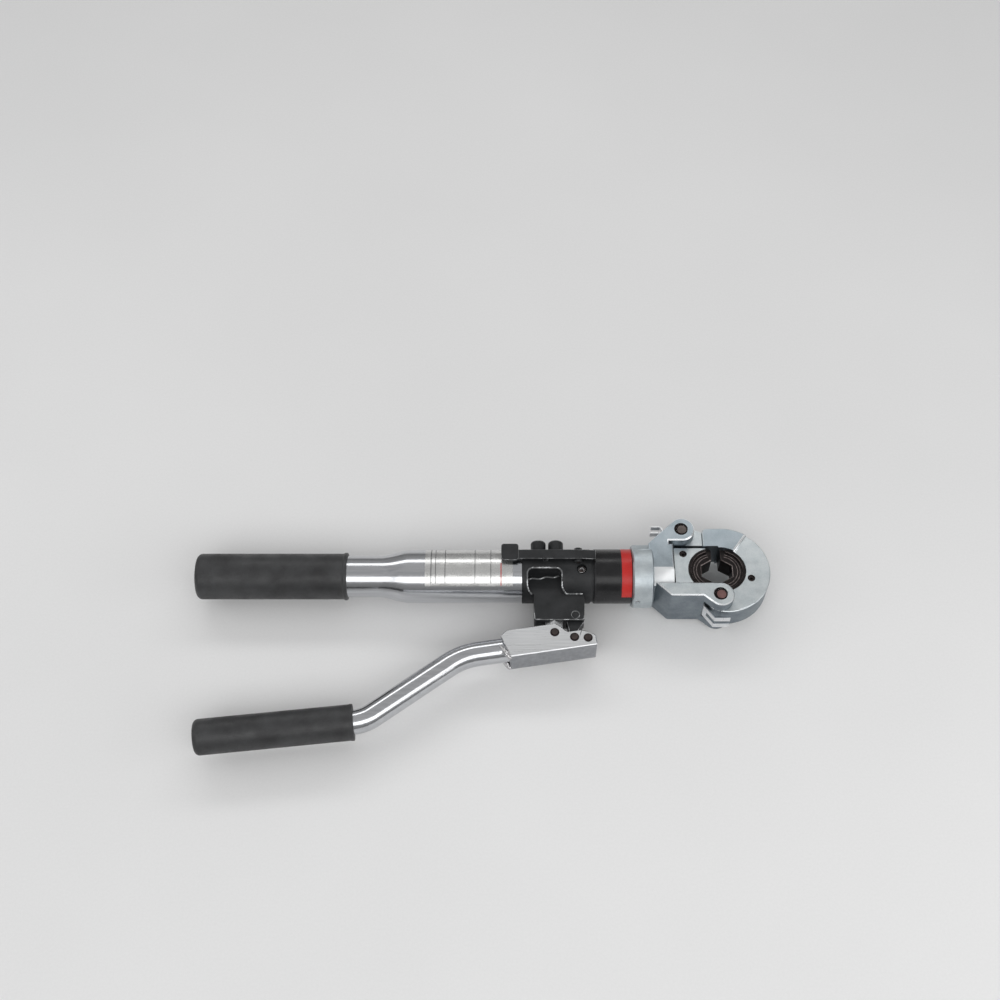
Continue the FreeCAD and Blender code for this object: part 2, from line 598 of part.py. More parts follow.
def make_handle():
    bore = tube_radius + seat_gap
    lip_start = grip_length - grip_lip_width
    grip = new_body("fixed_grip")
    revolve(grip, [
        (0, 0), (0, grip_radius), (lip_start - grip_lip_slope, grip_radius),
        (lip_start, grip_lip_radius), (grip_length, grip_lip_radius), (grip_length, bore),
        (grip_end_wall, bore), (grip_end_wall, 0)])
    round_edges(grip, grip_round, ring_at(0, grip_radius))

    tube_rear = grip_end_wall + seat_gap
    inner = tube_radius - tube_wall
    wide_inner = wide_tube_radius - tube_wall
    tube = new_body("reservoir_tube")
    revolve(tube, [
        (tube_rear, inner), (tube_rear, tube_radius), (taper_start, tube_radius),
        (wide_start, wide_tube_radius), (pump_start, wide_tube_radius),
        (pump_start, wide_inner), (wide_start, wide_inner), (taper_start, inner)])
    round_edges(tube, swage_round, ring_at(taper_start, tube_radius),
                ring_at(wide_start, wide_tube_radius))

    plug = new_body("tube_end_plug")
    plug_radius = inner - seat_gap
    plug_end = tube_rear + plug_length
    socket = plug_end - plug_socket_depth
    revolve(plug, [
        (tube_rear, plug_hole), (tube_rear, plug_radius), (plug_end, plug_radius),
        (plug_end, plug_socket), (socket, plug_socket), (socket, plug_hole)])

    stem_face = pump_start - spigot_length
    tail = plug_end + bladder_tail_gap
    neck = stem_face - bladder_neck_length
    shoulder = neck - bladder_radius + bladder_neck_radius
    thin = bladder_wall
    bladder = new_body("oil_bladder")
    revolve(bladder, [
        (tail, 0), (tail, bladder_radius), (shoulder, bladder_radius), (neck, bladder_neck_radius),
        (stem_face, bladder_neck_radius), (stem_face, bladder_neck_radius - thin),
        (neck, bladder_neck_radius - thin), (shoulder, bladder_radius - thin),
        (tail + thin, bladder_radius - thin), (tail + thin, 0)])
    band_end = stem_face - clamp_inset
    band_inner = bladder_neck_radius + seat_gap
    turned_ring("bladder_clamp", band_end - clamp_width, band_end, band_inner,
                band_inner + clamp_wall)


def make_pump_body():
    body = new_body("pump_body")
    spigot = wide_tube_radius - tube_wall - seat_gap
    stem = bladder_neck_radius - bladder_wall - seat_gap
    rear = pump_start - spigot_length
    front = barrel_start + spigot_length
    stem_end = rear - bladder_neck_length + pump_stem_inset
    front_ring = pump_radius - front_step
    step_x = barrel_start - front_step_width
    revolve(body, [
        (stem_end, 0), (stem_end, stem), (rear, stem), (rear, spigot), (pump_start, spigot),
        (pump_start, pump_radius), (step_x - front_step, pump_radius), (step_x, front_ring),
        (barrel_start, front_ring), (barrel_start, thread_radius), (front, thread_radius),
        (front, 0)])

    # The boss carries the plunger bore and, beside it, the slot for the link.
    boss_x0 = pump_start + boss_start
    boss_x1 = boss_x0 + boss_width
    prism(body, "XY_Plane", -boss_half, boss_half, box_points(boss_x0, boss_x1, -boss_reach, 0))
    round_edges(body, boss_round, stands_at(boss_x0, -boss_reach), stands_at(boss_x1, -boss_reach))

    # Cast pockets above and below the boss leave it flush with their floors.
    pocket_x0 = pump_start + pump_flange_width
    pocket_x1 = pocket_x0 + pocket_width
    over = pump_radius + cut_margin
    pocket = box_points(pocket_x0, pocket_x1, -over, -pocket_back)
    prism(body, "XY_Plane", boss_half, over, pocket, cut=True)
    prism(body, "XY_Plane", -over, -boss_half, pocket, cut=True)
    round_edges(body, pocket_round, stands_at(pocket_x0, -pocket_back),
                stands_at(pocket_x1, -pocket_back))

    # Plunger bore, its seal and the gland's thread
    gland_end = -boss_reach + gland_depth
    outside = -boss_reach - cut_margin
    disc(body, "XZ_Plane", outside, -plunger_bore_end, plunger_x, 0, plunger_radius + running_fit,
         cut=True)
    disc(body, "XZ_Plane", outside, gland_end + seal_width, plunger_x, 0, gland_radius + seat_gap,
         cut=True)

    # Slot and pin hole of the link
    slot_x0 = foot_x - link_foot_radius - slide_gap
    prism(body, "XY_Plane", -link_half - slide_gap, link_half + slide_gap,
          box_points(slot_x0, boss_x1 + cut_margin, outside, link_slot_depth - boss_reach), cut=True)
    disc(body, "XY_Plane", -boss_half - cut_margin, boss_half + cut_margin, foot_x, foot_y,
         link_pin_radius + running_fit, cut=True)

    # Seat of the valve caps, then a bore for each cap with the ball's room under it
    first_port = pump_start + cap_first
    second_port = first_port + cap_pitch
    seat_half = cap_radius + cap_seat_room
    prism(body, "XY_Plane", -seat_half, seat_half, box_points(
        first_port - seat_half, second_port + seat_half, cap_seat, over), cut=True)
    stem_bottom = cap_seat - cap_stem_length
    ball_floor = stem_bottom - 2 * ball_radius
    for port_x in (first_port, second_port):
        disc(body, "XZ_Plane", stem_bottom - valve_room, cap_seat + cut_margin, port_x, 0,
             cap_stem_radius + seat_gap, cut=True)
        disc(body, "XZ_Plane", ball_floor, cap_seat, port_x, 0, ball_radius + running_fit, cut=True)

    # Oil runs from the reservoir under the suction ball, above it to the plunger's chamber,
    # from there under the delivery ball, and above that one to the cylinder.
    passage = valve_port_radius
    above_ball = stem_bottom - passage
    chamber = -plunger_bore_end - passage
    chamber_x = plunger_x - plunger_radius + 2 * passage
    disc(body, "YZ_Plane", stem_end - cut_margin, first_port, 0, 0, passage, cut=True)
    disc(body, "XZ_Plane", -2 * passage, ball_floor + cut_margin, first_port, 0, passage, cut=True)
    disc(body, "YZ_Plane", first_port, chamber_x, above_ball, 0, passage, cut=True)
    disc(body, "XZ_Plane", chamber, above_ball, chamber_x, 0, passage, cut=True)
    disc(body, "XZ_Plane", chamber, ball_floor + cut_margin, second_port, 0, passage, cut=True)
    disc(body, "YZ_Plane", second_port, front + cut_margin, above_ball, 0, passage, cut=True)

    # Screw pocket beside the release lever
    screw_x = pump_start + top_screw_offset
    disc(body, "XY_Plane", top_screw_floor, over, screw_x, -top_screw_side, top_screw_pocket,
         cut=True)
    disc(body, "XY_Plane", top_screw_floor - top_screw_length - cut_margin, pump_radius, screw_x,
         -top_screw_side, top_screw_thread + seat_gap, cut=True)

    # Seat and lugs of the release lever
    pivot_x = pump_start + release_pivot_x
    side_in = release_side - release_width / 2 - slide_gap
    side_out = release_side + release_width / 2 + slide_gap
    half_lug = release_eye + lug_side
    root_z = pump_radius - lug_root
    lug_top = release_pivot_z + release_eye
    for y0, y1 in ((side_in - lug_wall, side_in), (side_out, side_out + lug_wall)):
        prism(body, "XZ_Plane", y0, y1, [
            (pivot_x - half_lug, root_z), (pivot_x + half_lug, root_z),
            (pivot_x + half_lug, lug_top - lug_edge), (pivot_x + half_lug - lug_edge, lug_top),
            (pivot_x - half_lug + lug_edge, lug_top), (pivot_x - half_lug, lug_top - lug_edge)])
    lane = half_lug + lane_room
    prism(body, "XY_Plane", release_pivot_z - release_eye - slide_gap, lug_top + cut_margin,
          box_points(pivot_x - lane, pivot_x + lane, side_in, side_out), cut=True)
    disc(body, "XZ_Plane", side_in - lug_wall - cut_margin, side_out + lug_wall + cut_margin,
         pivot_x, release_pivot_z, release_pin_radius + running_fit, cut=True)

    # Stem bore of the release valve, with room for its spring
    stem_x = pivot_x - stem_offset
    disc(body, "XY_Plane", stem_foot - stem_room, pump_radius, stem_x, release_side,
         stem_radius + running_fit, cut=True)
    disc(body, "XY_Plane", spring_seat, over, stem_x, release_side, stem_head_radius + slide_gap,
         cut=True)


def make_pump_fittings():
    gland = new_body("gland_nut")
    bore = plunger_radius + running_fit
    inner_end = -boss_reach + gland_depth
    outer_end = -boss_reach - gland_head
    disc(gland, "XZ_Plane", -boss_reach - seat_gap, inner_end, plunger_x, 0, gland_radius)
    prism(gland, "XZ_Plane", outer_end, -boss_reach - seat_gap, hexagon(gland_flats, plunger_x, 0))
    disc(gland, "XZ_Plane", outer_end - cut_margin, inner_end + cut_margin, plunger_x, 0, bore,
         cut=True)

    seal = new_body("plunger_seal")
    seal_end = inner_end + seal_width
    disc(seal, "XZ_Plane", inner_end + seat_gap, seal_end, plunger_x, 0, gland_radius)
    disc(seal, "XZ_Plane", inner_end, seal_end + cut_margin, plunger_x, 0, bore, cut=True)

    ports = (("suction_valve_cap", "suction_valve_ball", pump_start + cap_first),
             ("delivery_valve_cap", "delivery_valve_ball", pump_start + cap_first + cap_pitch))
    stem_bottom = cap_seat - cap_stem_length
    for cap_label, ball_label, port_x in ports:
        cap = new_body(cap_label)
        place(cap, port_x)
        revolve(cap, [
            (0, stem_bottom + ball_travel), (cap_stem_radius, stem_bottom + ball_travel),
            (cap_stem_radius, cap_seat + seat_gap), (cap_radius, cap_seat + seat_gap),
            (cap_radius, cap_reach - edge_break), (cap_radius - edge_break, cap_reach),
            (0, cap_reach)], "XY_Plane", "V_Axis")
        prism(cap, "XZ_Plane", cap_reach - cap_socket_depth, cap_reach + cut_margin,
              hexagon(cap_socket_radius * 2), cut=True)
        ball = doc.addObject("Part::Sphere", ball_label)
        ball.Label = ball_label
        bind(ball, "Radius", ball_radius)
        place(ball, port_x, stem_bottom - ball_radius + ball_lift)
        subparts.append(ball)

    screw = new_body("pocket_screw")
    place(screw, pump_start + top_screw_offset, -top_screw_side)
    floor = top_screw_floor + seat_gap
    head_top = floor + top_screw_head
    upright(screw, [
        (0, floor - top_screw_length), (top_screw_thread, floor - top_screw_length),
        (top_screw_thread, floor), (top_screw_radius, floor), (top_screw_radius, head_top),
        (0, head_top)])
    prism(screw, "XY_Plane", head_top - top_screw_socket, head_top + cut_margin,
          hexagon(top_screw_radius), cut=True)


def make_linkage():
    pin = new_body("link_foot_pin")
    place(pin, foot_x, foot_y)
    tip = boss_half - seat_gap
    disc(pin, "XY_Plane", -tip, tip, 0, 0, link_pin_radius)

    link = new_body("pump_link")
    shoulder = foot_y - link_shoulder
    shank = lever_y + link_shank_start
    disc(link, "XY_Plane", -link_half, link_half, foot_x, foot_y, link_foot_radius)
    disc(link, "XY_Plane", -link_half, link_half, lever_x, lever_y, link_eye_radius)
    prism(link, "XY_Plane", -link_half, link_half, [
        (foot_x - link_foot_radius, foot_y), (foot_x + link_foot_radius, foot_y),
        (foot_x + link_foot_radius, shoulder), (lever_x + link_shank_half, shank),
        (lever_x + link_shank_half, lever_y), (lever_x - link_shank_half, lever_y),
        (lever_x - link_shank_half, shank), (foot_x - link_foot_radius, shoulder)])
    for x, y, hole in ((foot_x, foot_y, link_pin_radius), (lever_x, lever_y, lever_pin_radius)):
        disc(link, "XY_Plane", -link_half - cut_margin, link_half + cut_margin, x, y,
             hole + running_fit, cut=True)

    plunger = new_body("pump_plunger")
    eye_x0 = plunger_x - eye_half_width
    eye_x1 = plunger_x + eye_half_width
    eye_y0 = eye_y - eye_half_length
    eye_y1 = eye_y + eye_half_length
    prism(plunger, "XY_Plane", -eye_half, eye_half, box_points(eye_x0, eye_x1, eye_y0, eye_y1))
    round_edges(plunger, eye_round, stands_at(eye_x0, eye_y0), stands_at(eye_x1, eye_y0),
                stands_at(eye_x0, eye_y1), stands_at(eye_x1, eye_y1))
    disc(plunger, "XZ_Plane", eye_y, -plunger_bore_end - plunger_end_room, plunger_x, 0,
         plunger_radius)
    reach = lever_pin_radius + eye_slot_play
    for side in (-1, 1):
        disc(plunger, "XY_Plane", -eye_half - cut_margin, eye_half + cut_margin,
             plunger_x + eye_slot_travel * side, eye_y, reach, cut=True)
    prism(plunger, "XY_Plane", -eye_half - cut_margin, eye_half + cut_margin, box_points(
        plunger_x - eye_slot_travel, plunger_x + eye_slot_travel, eye_y - reach, eye_y + reach),
        cut=True)


def make_lever():
    bracket = new_body("lever_bracket")
    place(bracket, lever_x, lever_y, 0, shank_angle)
    low = -bracket_web
    step_end = -bracket_rear_flat - bracket_step_run
    tail_x = -bracket_length - bracket_tail_reach
    prism(bracket, "XY_Plane", -bracket_half, bracket_half, [
        (-bracket_length, low), (bracket_nose, low), (bracket_nose, low + bracket_nose_height),
        (bracket_front_flat, bracket_low_edge), (-bracket_rear_flat, bracket_low_edge),
        (step_end, bracket_high_edge), (-bracket_length, bracket_high_edge),
        (tail_x, bracket_high_edge - bracket_tail_drop)])
    inside = bracket_half - bracket_wall
    prism(bracket, "XY_Plane", -inside, inside, box_points(
        tail_x - cut_margin, bracket_nose + cut_margin, low + bracket_wall,
        bracket_high_edge + cut_margin), cut=True)
    round_edges(bracket, bracket_bend, lies_along(low, bracket_half))
    round_edges(bracket, bracket_round, stands_at(bracket_nose, low + bracket_nose_height),
                stands_at(bracket_front_flat, bracket_low_edge),
                stands_at(-bracket_rear_flat, bracket_low_edge),
                stands_at(step_end, bracket_high_edge),
                stands_at(-bracket_length, bracket_high_edge))
    c = cosine(shank_angle)
    s = sine(shank_angle)
    # The plunger pin's place, turned into the bracket's frame
    pin_a = (eye_rise * s - eye_back * c, eye_back * s + eye_rise * c)
    pin_c = (stop_pin_ahead, -stop_pin_drop)
    for label, (x, y) in (("plunger_pin", pin_a), ("lever_pivot_pin", (dim(0), dim(0))),
                          ("lever_stop_pin", pin_c)):
        disc(bracket, "XY_Plane", -bracket_half - cut_margin, bracket_half + cut_margin, x, y,
             lever_pin_radius + running_fit, cut=True)
        pin = new_body(label)
        at_x, at_y = bracket_point(x, y)
        place(pin, at_x, at_y)
        end = bracket_half + pin_head_height
        face = bracket_half + seat_gap
        upright(pin, [
            (0, -end), (pin_head_radius, -end), (pin_head_radius, -face),
            (lever_pin_radius, -face), (lever_pin_radius, end), (0, end)])

    tube = new_body("lever_tube")
    tube_y = -bracket_web + bracket_wall + lever_seat_gap + lever_tube_radius
    start_x, start_y = bracket_point(-tube_inset, tube_y)
    place(tube, start_x, start_y, 0, shank_angle)
    drop = drop_angle - shank_angle
    tail = tail_angle - shank_angle
    back_turn = drop_angle - tail_angle
    cut_one = first_bend * tangent(drop / 2)
    cut_two = second_bend * tangent(back_turn / 2)
    k1 = (-shank_length, dim(0))
    k2 = (k1[0] - drop_length * cosine(drop), k1[1] - drop_length * sine(drop))
    end = (k2[0] - tail_length * cosine(tail), k2[1] - tail_length * sine(tail))
    a1 = (k1[0] + cut_one, k1[1])
    b1 = (k1[0] - cut_one * cosine(drop), k1[1] - cut_one * sine(drop))
    a2 = (k2[0] + cut_two * cosine(drop), k2[1] + cut_two * sine(drop))
    b2 = (k2[0] - cut_two * cosine(tail), k2[1] - cut_two * sine(tail))
    path = new_sketch(tube, "XY_Plane")
    path.addGeometry(Part.LineSegment(vector(0, 0), vector(*a1)), False)
    centre = vector(a1[0], a1[1] - first_bend)
    add_arc(path, centre, first_bend, 90, 90 + drop.value)
    path.addGeometry(Part.LineSegment(vector(*b1), vector(*a2)), False)
    centre = vector(a2[0] - second_bend * sine(drop), a2[1] + second_bend * cosine(drop))
    add_arc(path, centre, second_bend, tail.value - 90, drop.value - 90)
    path.addGeometry(Part.LineSegment(vector(*b2), vector(*end)), False)
    for meeting in ((0, 2, 1, 1), (1, 2, 2, 1), (2, 2, 3, 2), (3, 1, 4, 1)):
        path.addConstraint(Sketcher.Constraint("Coincident", *meeting))
    pin_point(path, 0, 1, 0, 0)
    pin_point(path, 0, 2, *a1)
    pin_point(path, 2, 1, *b1)
    pin_point(path, 2, 2, *a2)
    pin_point(path, 4, 1, *b2)
    pin_point(path, 4, 2, *end)
    fix(path, "Radius", first_bend, 1)
    fix(path, "Radius", second_bend, 3)
    ring = new_sketch(tube, "YZ_Plane")
    circle(ring, 0, 0, lever_tube_radius)
    circle(ring, 0, 0, lever_tube_radius - lever_tube_wall)
    doc.recompute()
    sweep = tube.newObject("PartDesign::AdditivePipe", "lever_tube_sweep")
    sweep.Profile = ring
    sweep.Spine = (path, ["Edge%d" % i for i in range(1, 6)])
    doc.recompute()

    grip = new_body("lever_grip")
    # The corner before the grip, in the tool's frame
    corner_x = start_x + k2[0] * c - k2[1] * s
    corner_y = start_y + k2[0] * s + k2[1] * c
    place(grip, corner_x, corner_y, 0, tail_angle)
    bore = lever_tube_radius + seat_gap
    front = -lever_grip_start
    back = front - lever_grip_length
    bore_end = back + grip_end_wall
    rim = lever_grip_radius
    lip = rim + lever_lip_rise
    revolve(grip, [
        (back, 0), (back, rim), (front - grip_lip_width - grip_lip_slope, rim),
        (front - grip_lip_width, lip), (front, lip), (front, bore), (bore_end, bore),
        (bore_end, 0)])
    round_edges(grip, grip_round, ring_at(back, rim))


def add_arc(sketch, centre, radius, start, end):
    ring = Part.Circle(centre, FreeCAD.Vector(0, 0, 1), radius.value)
    sketch.addGeometry(Part.ArcOfCircle(ring, math.radians(start), math.radians(end)), False)


def coil_spring(label, role, axis, outline, length, turns):
    # Coil of square wire, turned about an axis of its sketch from the wire's first section.
    spring = new_body(label)
    section = new_sketch(spring, role)
    polygon(section, outline)
    doc.recompute()
    coil = spring.newObject("PartDesign::AdditiveHelix", label + "_coil")
    coil.Profile = section
    coil.ReferenceAxis = (section, [axis])
    coil.Mode = "pitch-turns-angle"
    bind(coil, "Pitch", length / turns)
    bind(coil, "Turns", turns)
    doc.recompute()
    return spring


def make_release():
    pivot_x = pump_start + release_pivot_x
    side_in = release_side - release_width / 2
    side_out = release_side + release_width / 2
    low = release_bottom
    high = release_bottom + release_sheet
    lever = new_body("release_lever")
    pad_x0 = pivot_x - release_reach
    pad_x1 = pad_x0 + pad_length
    strip_x = pad_x1 - pad_overlap
    bend_x = pivot_x + release_eye + tail_bend
    tail_x = pivot_x + release_tail
    prism(lever, "XZ_Plane", side_in, side_out, [
        (strip_x, low), (bend_x, low), (tail_x, low - tail_drop), (tail_x, high - tail_drop),
        (bend_x, high), (strip_x, high)])
    disc(lever, "XZ_Plane", side_in, side_out, pivot_x, release_pivot_z, release_eye)
    pad_side = release_side + pad_shift
    pad_y0 = pad_side - pad_width / 2
    pad_y1 = pad_side + pad_width / 2
    pad_top = high + pad_rise
    prism(lever, "XY_Plane", pad_top - pad_thickness, pad_top,
          box_points(pad_x0, pad_x1, pad_y0, pad_y1))
    round_edges(lever, pad_round, stands_at(pad_x0, pad_y0), stands_at(pad_x1, pad_y0),
                stands_at(pad_x0, pad_y1), stands_at(pad_x1, pad_y1))
    disc(lever, "XZ_Plane", side_in - cut_margin, side_out + cut_margin, pivot_x, release_pivot_z,
         release_pin_radius + running_fit, cut=True)

    pin = new_body("release_pivot_pin")
    end_in = side_in - slide_gap - lug_wall
    end_out = side_out + slide_gap + lug_wall
    disc(pin, "XZ_Plane", end_in, end_out, pivot_x, release_pivot_z, release_pin_radius)

    stem = new_body("release_stem")
    stem_x = pivot_x - stem_offset
    place(stem, stem_x, release_side)
    top = release_bottom - slide_gap
    head = top - stem_head_height
    upright(stem, [
        (0, stem_foot), (stem_radius - stem_tip, stem_foot), (stem_radius, stem_foot + stem_tip),
        (stem_radius, head), (stem_head_radius, head), (stem_head_radius, top), (0, top)])

    wire = release_spring_wire
    inner = (stem_radius + stem_head_radius - wire) / 2
    foot = spring_seat + seat_gap
    spring = coil_spring("release_spring", "XZ_Plane", "V_Axis", box_points(
        inner, inner + wire, foot, foot + wire), head - seat_gap - foot - wire,
        release_spring_turns)
    place(spring, stem_x, release_side)


def make_cylinder():
    front = head_start + nose_length
    bore_start = barrel_start + spigot_length + seat_gap
    thread = thread_radius + seat_gap
    ring_x0 = head_start + swivel_ring_place
    ring_x1 = ring_x0 + swivel_ring_width
    groove = nose_radius - swivel_ring_depth
    barrel = new_body("cylinder_barrel")
    revolve(barrel, [
        (barrel_start, thread), (barrel_start, barrel_radius - edge_break),
        (barrel_start + edge_break, barrel_radius), (head_start, barrel_radius),
        (head_start, nose_radius), (ring_x0, nose_radius), (ring_x0, groove), (ring_x1, groove),
        (ring_x1, nose_radius), (front, nose_radius), (front, bore_radius),
        (bore_start, bore_radius), (bore_start, thread)])

    ring = new_body("swivel_ring")
    outer = nose_radius + swivel_ring_depth
    revolve(ring, [
        (ring_x0 + seat_gap, groove + seat_gap), (ring_x1 - seat_gap, groove + seat_gap),
        (ring_x1 - seat_gap, outer), (ring_x0 + seat_gap, outer)])
    prism(ring, "YZ_Plane", ring_x0, ring_x1, box_points(
        0, outer + cut_margin, -swivel_slit / 2, swivel_slit / 2), cut=True)


def make_piston():
    rear = barrel_start + spigot_length + piston_rest_gap
    front = rear + piston_length
    holder_rear = fork_root + holder_rear_gap
    mid = rear + piston_length / 2
    seal0 = mid - piston_seal_width / 2
    seal1 = mid + piston_seal_width / 2
    skirt = bore_radius - running_fit
    groove = skirt - piston_seal_depth
    piston = new_body("piston")
    revolve(piston, [
        (rear, 0), (rear, skirt), (seal0, skirt), (seal0, groove), (seal1, groove),
        (seal1, skirt), (front, skirt), (front, rod_radius),
        (holder_rear - seat_gap, rod_radius), (holder_rear - seat_gap, stud_radius),
        (holder_rear + stud_length, stud_radius), (holder_rear + stud_length, 0)])
    turned_ring("piston_seal", seal0 + seat_gap, seal1 - seat_gap, groove + seat_gap,
                bore_radius - running_fit / 2)

    # The return spring stands between the piston and the head's inner face.
    spring_start = front + seat_gap
    spring_end = head_start + nose_length + slide_gap - seat_gap
    inner = spring_radius - spring_wire / 2
    coil_spring("return_spring", "XY_Plane", "H_Axis", box_points(
        spring_start, spring_start + spring_wire, inner, inner + spring_wire),
        spring_end - spring_start - spring_wire, spring_turns)


def make_head():
    body = new_body("head_fork")
    nose_bore = nose_radius + slide_gap
    nose_end = head_start + nose_length + slide_gap
    ring_x0 = head_start + swivel_ring_place
    ring_x1 = ring_x0 + swivel_ring_width
    groove = nose_bore + swivel_ring_depth
    edge = collar_edge
    face = head_start + slide_gap
    rod_bore = rod_radius + running_fit
    revolve(body, [
        (face, nose_bore), (face, collar_radius - edge), (face + edge, collar_radius),
        (neck_start - edge, collar_radius), (neck_start, collar_radius - edge),
        (neck_start, rod_bore), (nose_end, rod_bore), (nose_end, nose_bore), (ring_x1, nose_bore),
        (ring_x1, groove), (ring_x0, groove), (ring_x0, nose_bore)])

    # Neck with one sloped side, upper and lower alike
    inner_front = hinge_pin_y + ear_radius
    slope = head_half - neck_slope_drop
    step_x = fork_root - back_arm_step
    arm_x = neck_start - arm_start
    prism(body, "YZ_Plane", arm_x, fork_root, [
        (inner_front, -slope), (-neck_ridge, -head_half), (neck_back, -head_half),
        (neck_back, head_half), (-neck_ridge, head_half), (inner_front, slope)])

    # Front arm with its hinge ears
    flare_x = neck_start + front_arm_start
    flare = front_arm_face + inner_front
    shoulder_x = hinge_pin_x - ear_radius * sine(ear_shoulder_angle)
    shoulder_y = hinge_pin_y - ear_radius * cosine(ear_shoulder_angle)
    face_end = shoulder_x - (-front_arm_face - shoulder_y) / tangent(ear_shoulder_angle)
    prism(body, "XY_Plane", -head_half, head_half, [
        (flare_x, inner_front), (flare_x + flare, -front_arm_face), (face_end, -front_arm_face),
        (shoulder_x, shoulder_y), (hinge_pin_x, hinge_pin_y), (hinge_pin_x, inner_front)])
    round_edges(body, fork_round, stands_at(flare_x + flare, -front_arm_face))
    disc(body, "XY_Plane", -head_half, head_half, hinge_pin_x, hinge_pin_y, ear_radius)

    # Back arm with its latch ears: a sloped flank that meets the ear's circle
    flank_x = latch_pin_x - ear_radius * sine(flank_angle)
    flank_y = latch_pin_y + ear_radius * cosine(flank_angle)
    prism(body, "XY_Plane", -head_half, head_half, [
        (arm_x, back_arm_root), (arm_x, flank_y - (flank_x - arm_x) * tangent(flank_angle)),
        (flank_x, flank_y), (latch_pin_x, latch_pin_y), (latch_pin_x, back_arm_inner),
        (step_x, back_arm_inner), (step_x, back_arm_root)])
    disc(body, "XY_Plane", -head_half, head_half, latch_pin_x, latch_pin_y, ear_radius)

    # One slot takes the die holder, the jaw's tongue and the jaw's eye.
    gap = slot_half + slide_gap
    far = hinge_pin_x + ear_radius + cut_margin
    side = holder_half_width + throat_gap
    slot_x = fork_root - slot_relief
    tongue_x = fork_root - back_slot_root
    eye_x = fork_root + front_slot_root
    outside = latch_pin_y + ear_radius + cut_margin
    prism(body, "XY_Plane", -gap, gap, [
        (slot_x, -side), (eye_x, -side), (eye_x, -outside), (far, -outside), (far, outside),
        (tongue_x, outside), (tongue_x, side), (slot_x, side)], cut=True)

    # Pin holes, with recesses set off to one side on the upper face
    top = head_half + cut_margin
    for x, y in ((hinge_pin_x, hinge_pin_y), (latch_pin_x, latch_pin_y)):
        disc(body, "XY_Plane", -top, top, x, y, pin_radius + running_fit, cut=True)
        disc(body, "XY_Plane", head_half - pin_recess_depth, top, x - pin_recess_shift, y,
             pin_recess_radius, cut=True)

    # Bore of the piston rod and the set screw's thread
    disc(body, "YZ_Plane", nose_end - cut_margin, fork_root + cut_margin, 0, 0, rod_bore, cut=True)
    screw_x = head_start + set_screw_x
    disc(body, "XZ_Plane", -collar_radius - cut_margin, -nose_radius, screw_x, set_screw_z,
         set_screw_radius + seat_gap, cut=True)

    screw = new_body("head_set_screw")
    outer = -collar_radius + set_screw_inset
    disc(screw, "XZ_Plane", outer, outer + set_screw_length, screw_x, set_screw_z,
         set_screw_radius)
    prism(screw, "XZ_Plane", outer - cut_margin, outer + set_screw_socket_depth, hexagon(
        set_screw_socket * 2, screw_x, set_screw_z), cut=True)

    for label, x, y in (("hinge_pin", hinge_pin_x, hinge_pin_y),
                        ("latch_pin", latch_pin_x, latch_pin_y)):
        pin = new_body(label)
        place(pin, x, y)
        foot_top = -head_half - seat_gap
        disc(pin, "XY_Plane", foot_top - pin_foot_height, foot_top, 0, 0, pin_foot_radius)
        disc(pin, "XY_Plane", foot_top, head_half - pin_recess, 0, 0, pin_radius)


def die_pin(label, x, y):
    pin = new_body(label)
    place(pin, x, y)
    half = slot_half - die_pin_recess
    upright(pin, [(die_pin_bore, -half), (die_pin_radius, -half), (die_pin_radius, half),
                  (die_pin_bore, half)])
    prism(pin, "XY_Plane", -half - cut_margin, half + cut_margin, box_points(
        0, die_pin_radius + cut_margin, -die_pin_slot / 2, die_pin_slot / 2), cut=True)


def make_die_holder():
    body = new_body("die_holder")
    rear = fork_root + holder_rear_gap
    tip = moving_face - holder_tip
    half_w = holder_half_width
    edge = holder_edge
    over = slot_half + cut_margin
    prism(body, "XY_Plane", -slot_half, slot_half, [
        (rear + edge, -half_w), (tip, -half_w), (tip, half_w), (rear + edge, half_w),
        (rear, half_w - edge), (rear, edge - half_w)])
    disc(body, "XY_Plane", -over, over, moving_face, 0, die_radius + seat_gap, cut=True)
    disc(body, "YZ_Plane", rear - cut_margin, rear + stud_length + stud_room, 0, 0,
         stud_radius + seat_gap, cut=True)
    pin_x = moving_face - holder_pin_x
    disc(body, "XY_Plane", -over, over, pin_x, holder_pin_y, die_pin_radius + seat_gap, cut=True)
    die_pin("holder_die_pin", pin_x, holder_pin_y)


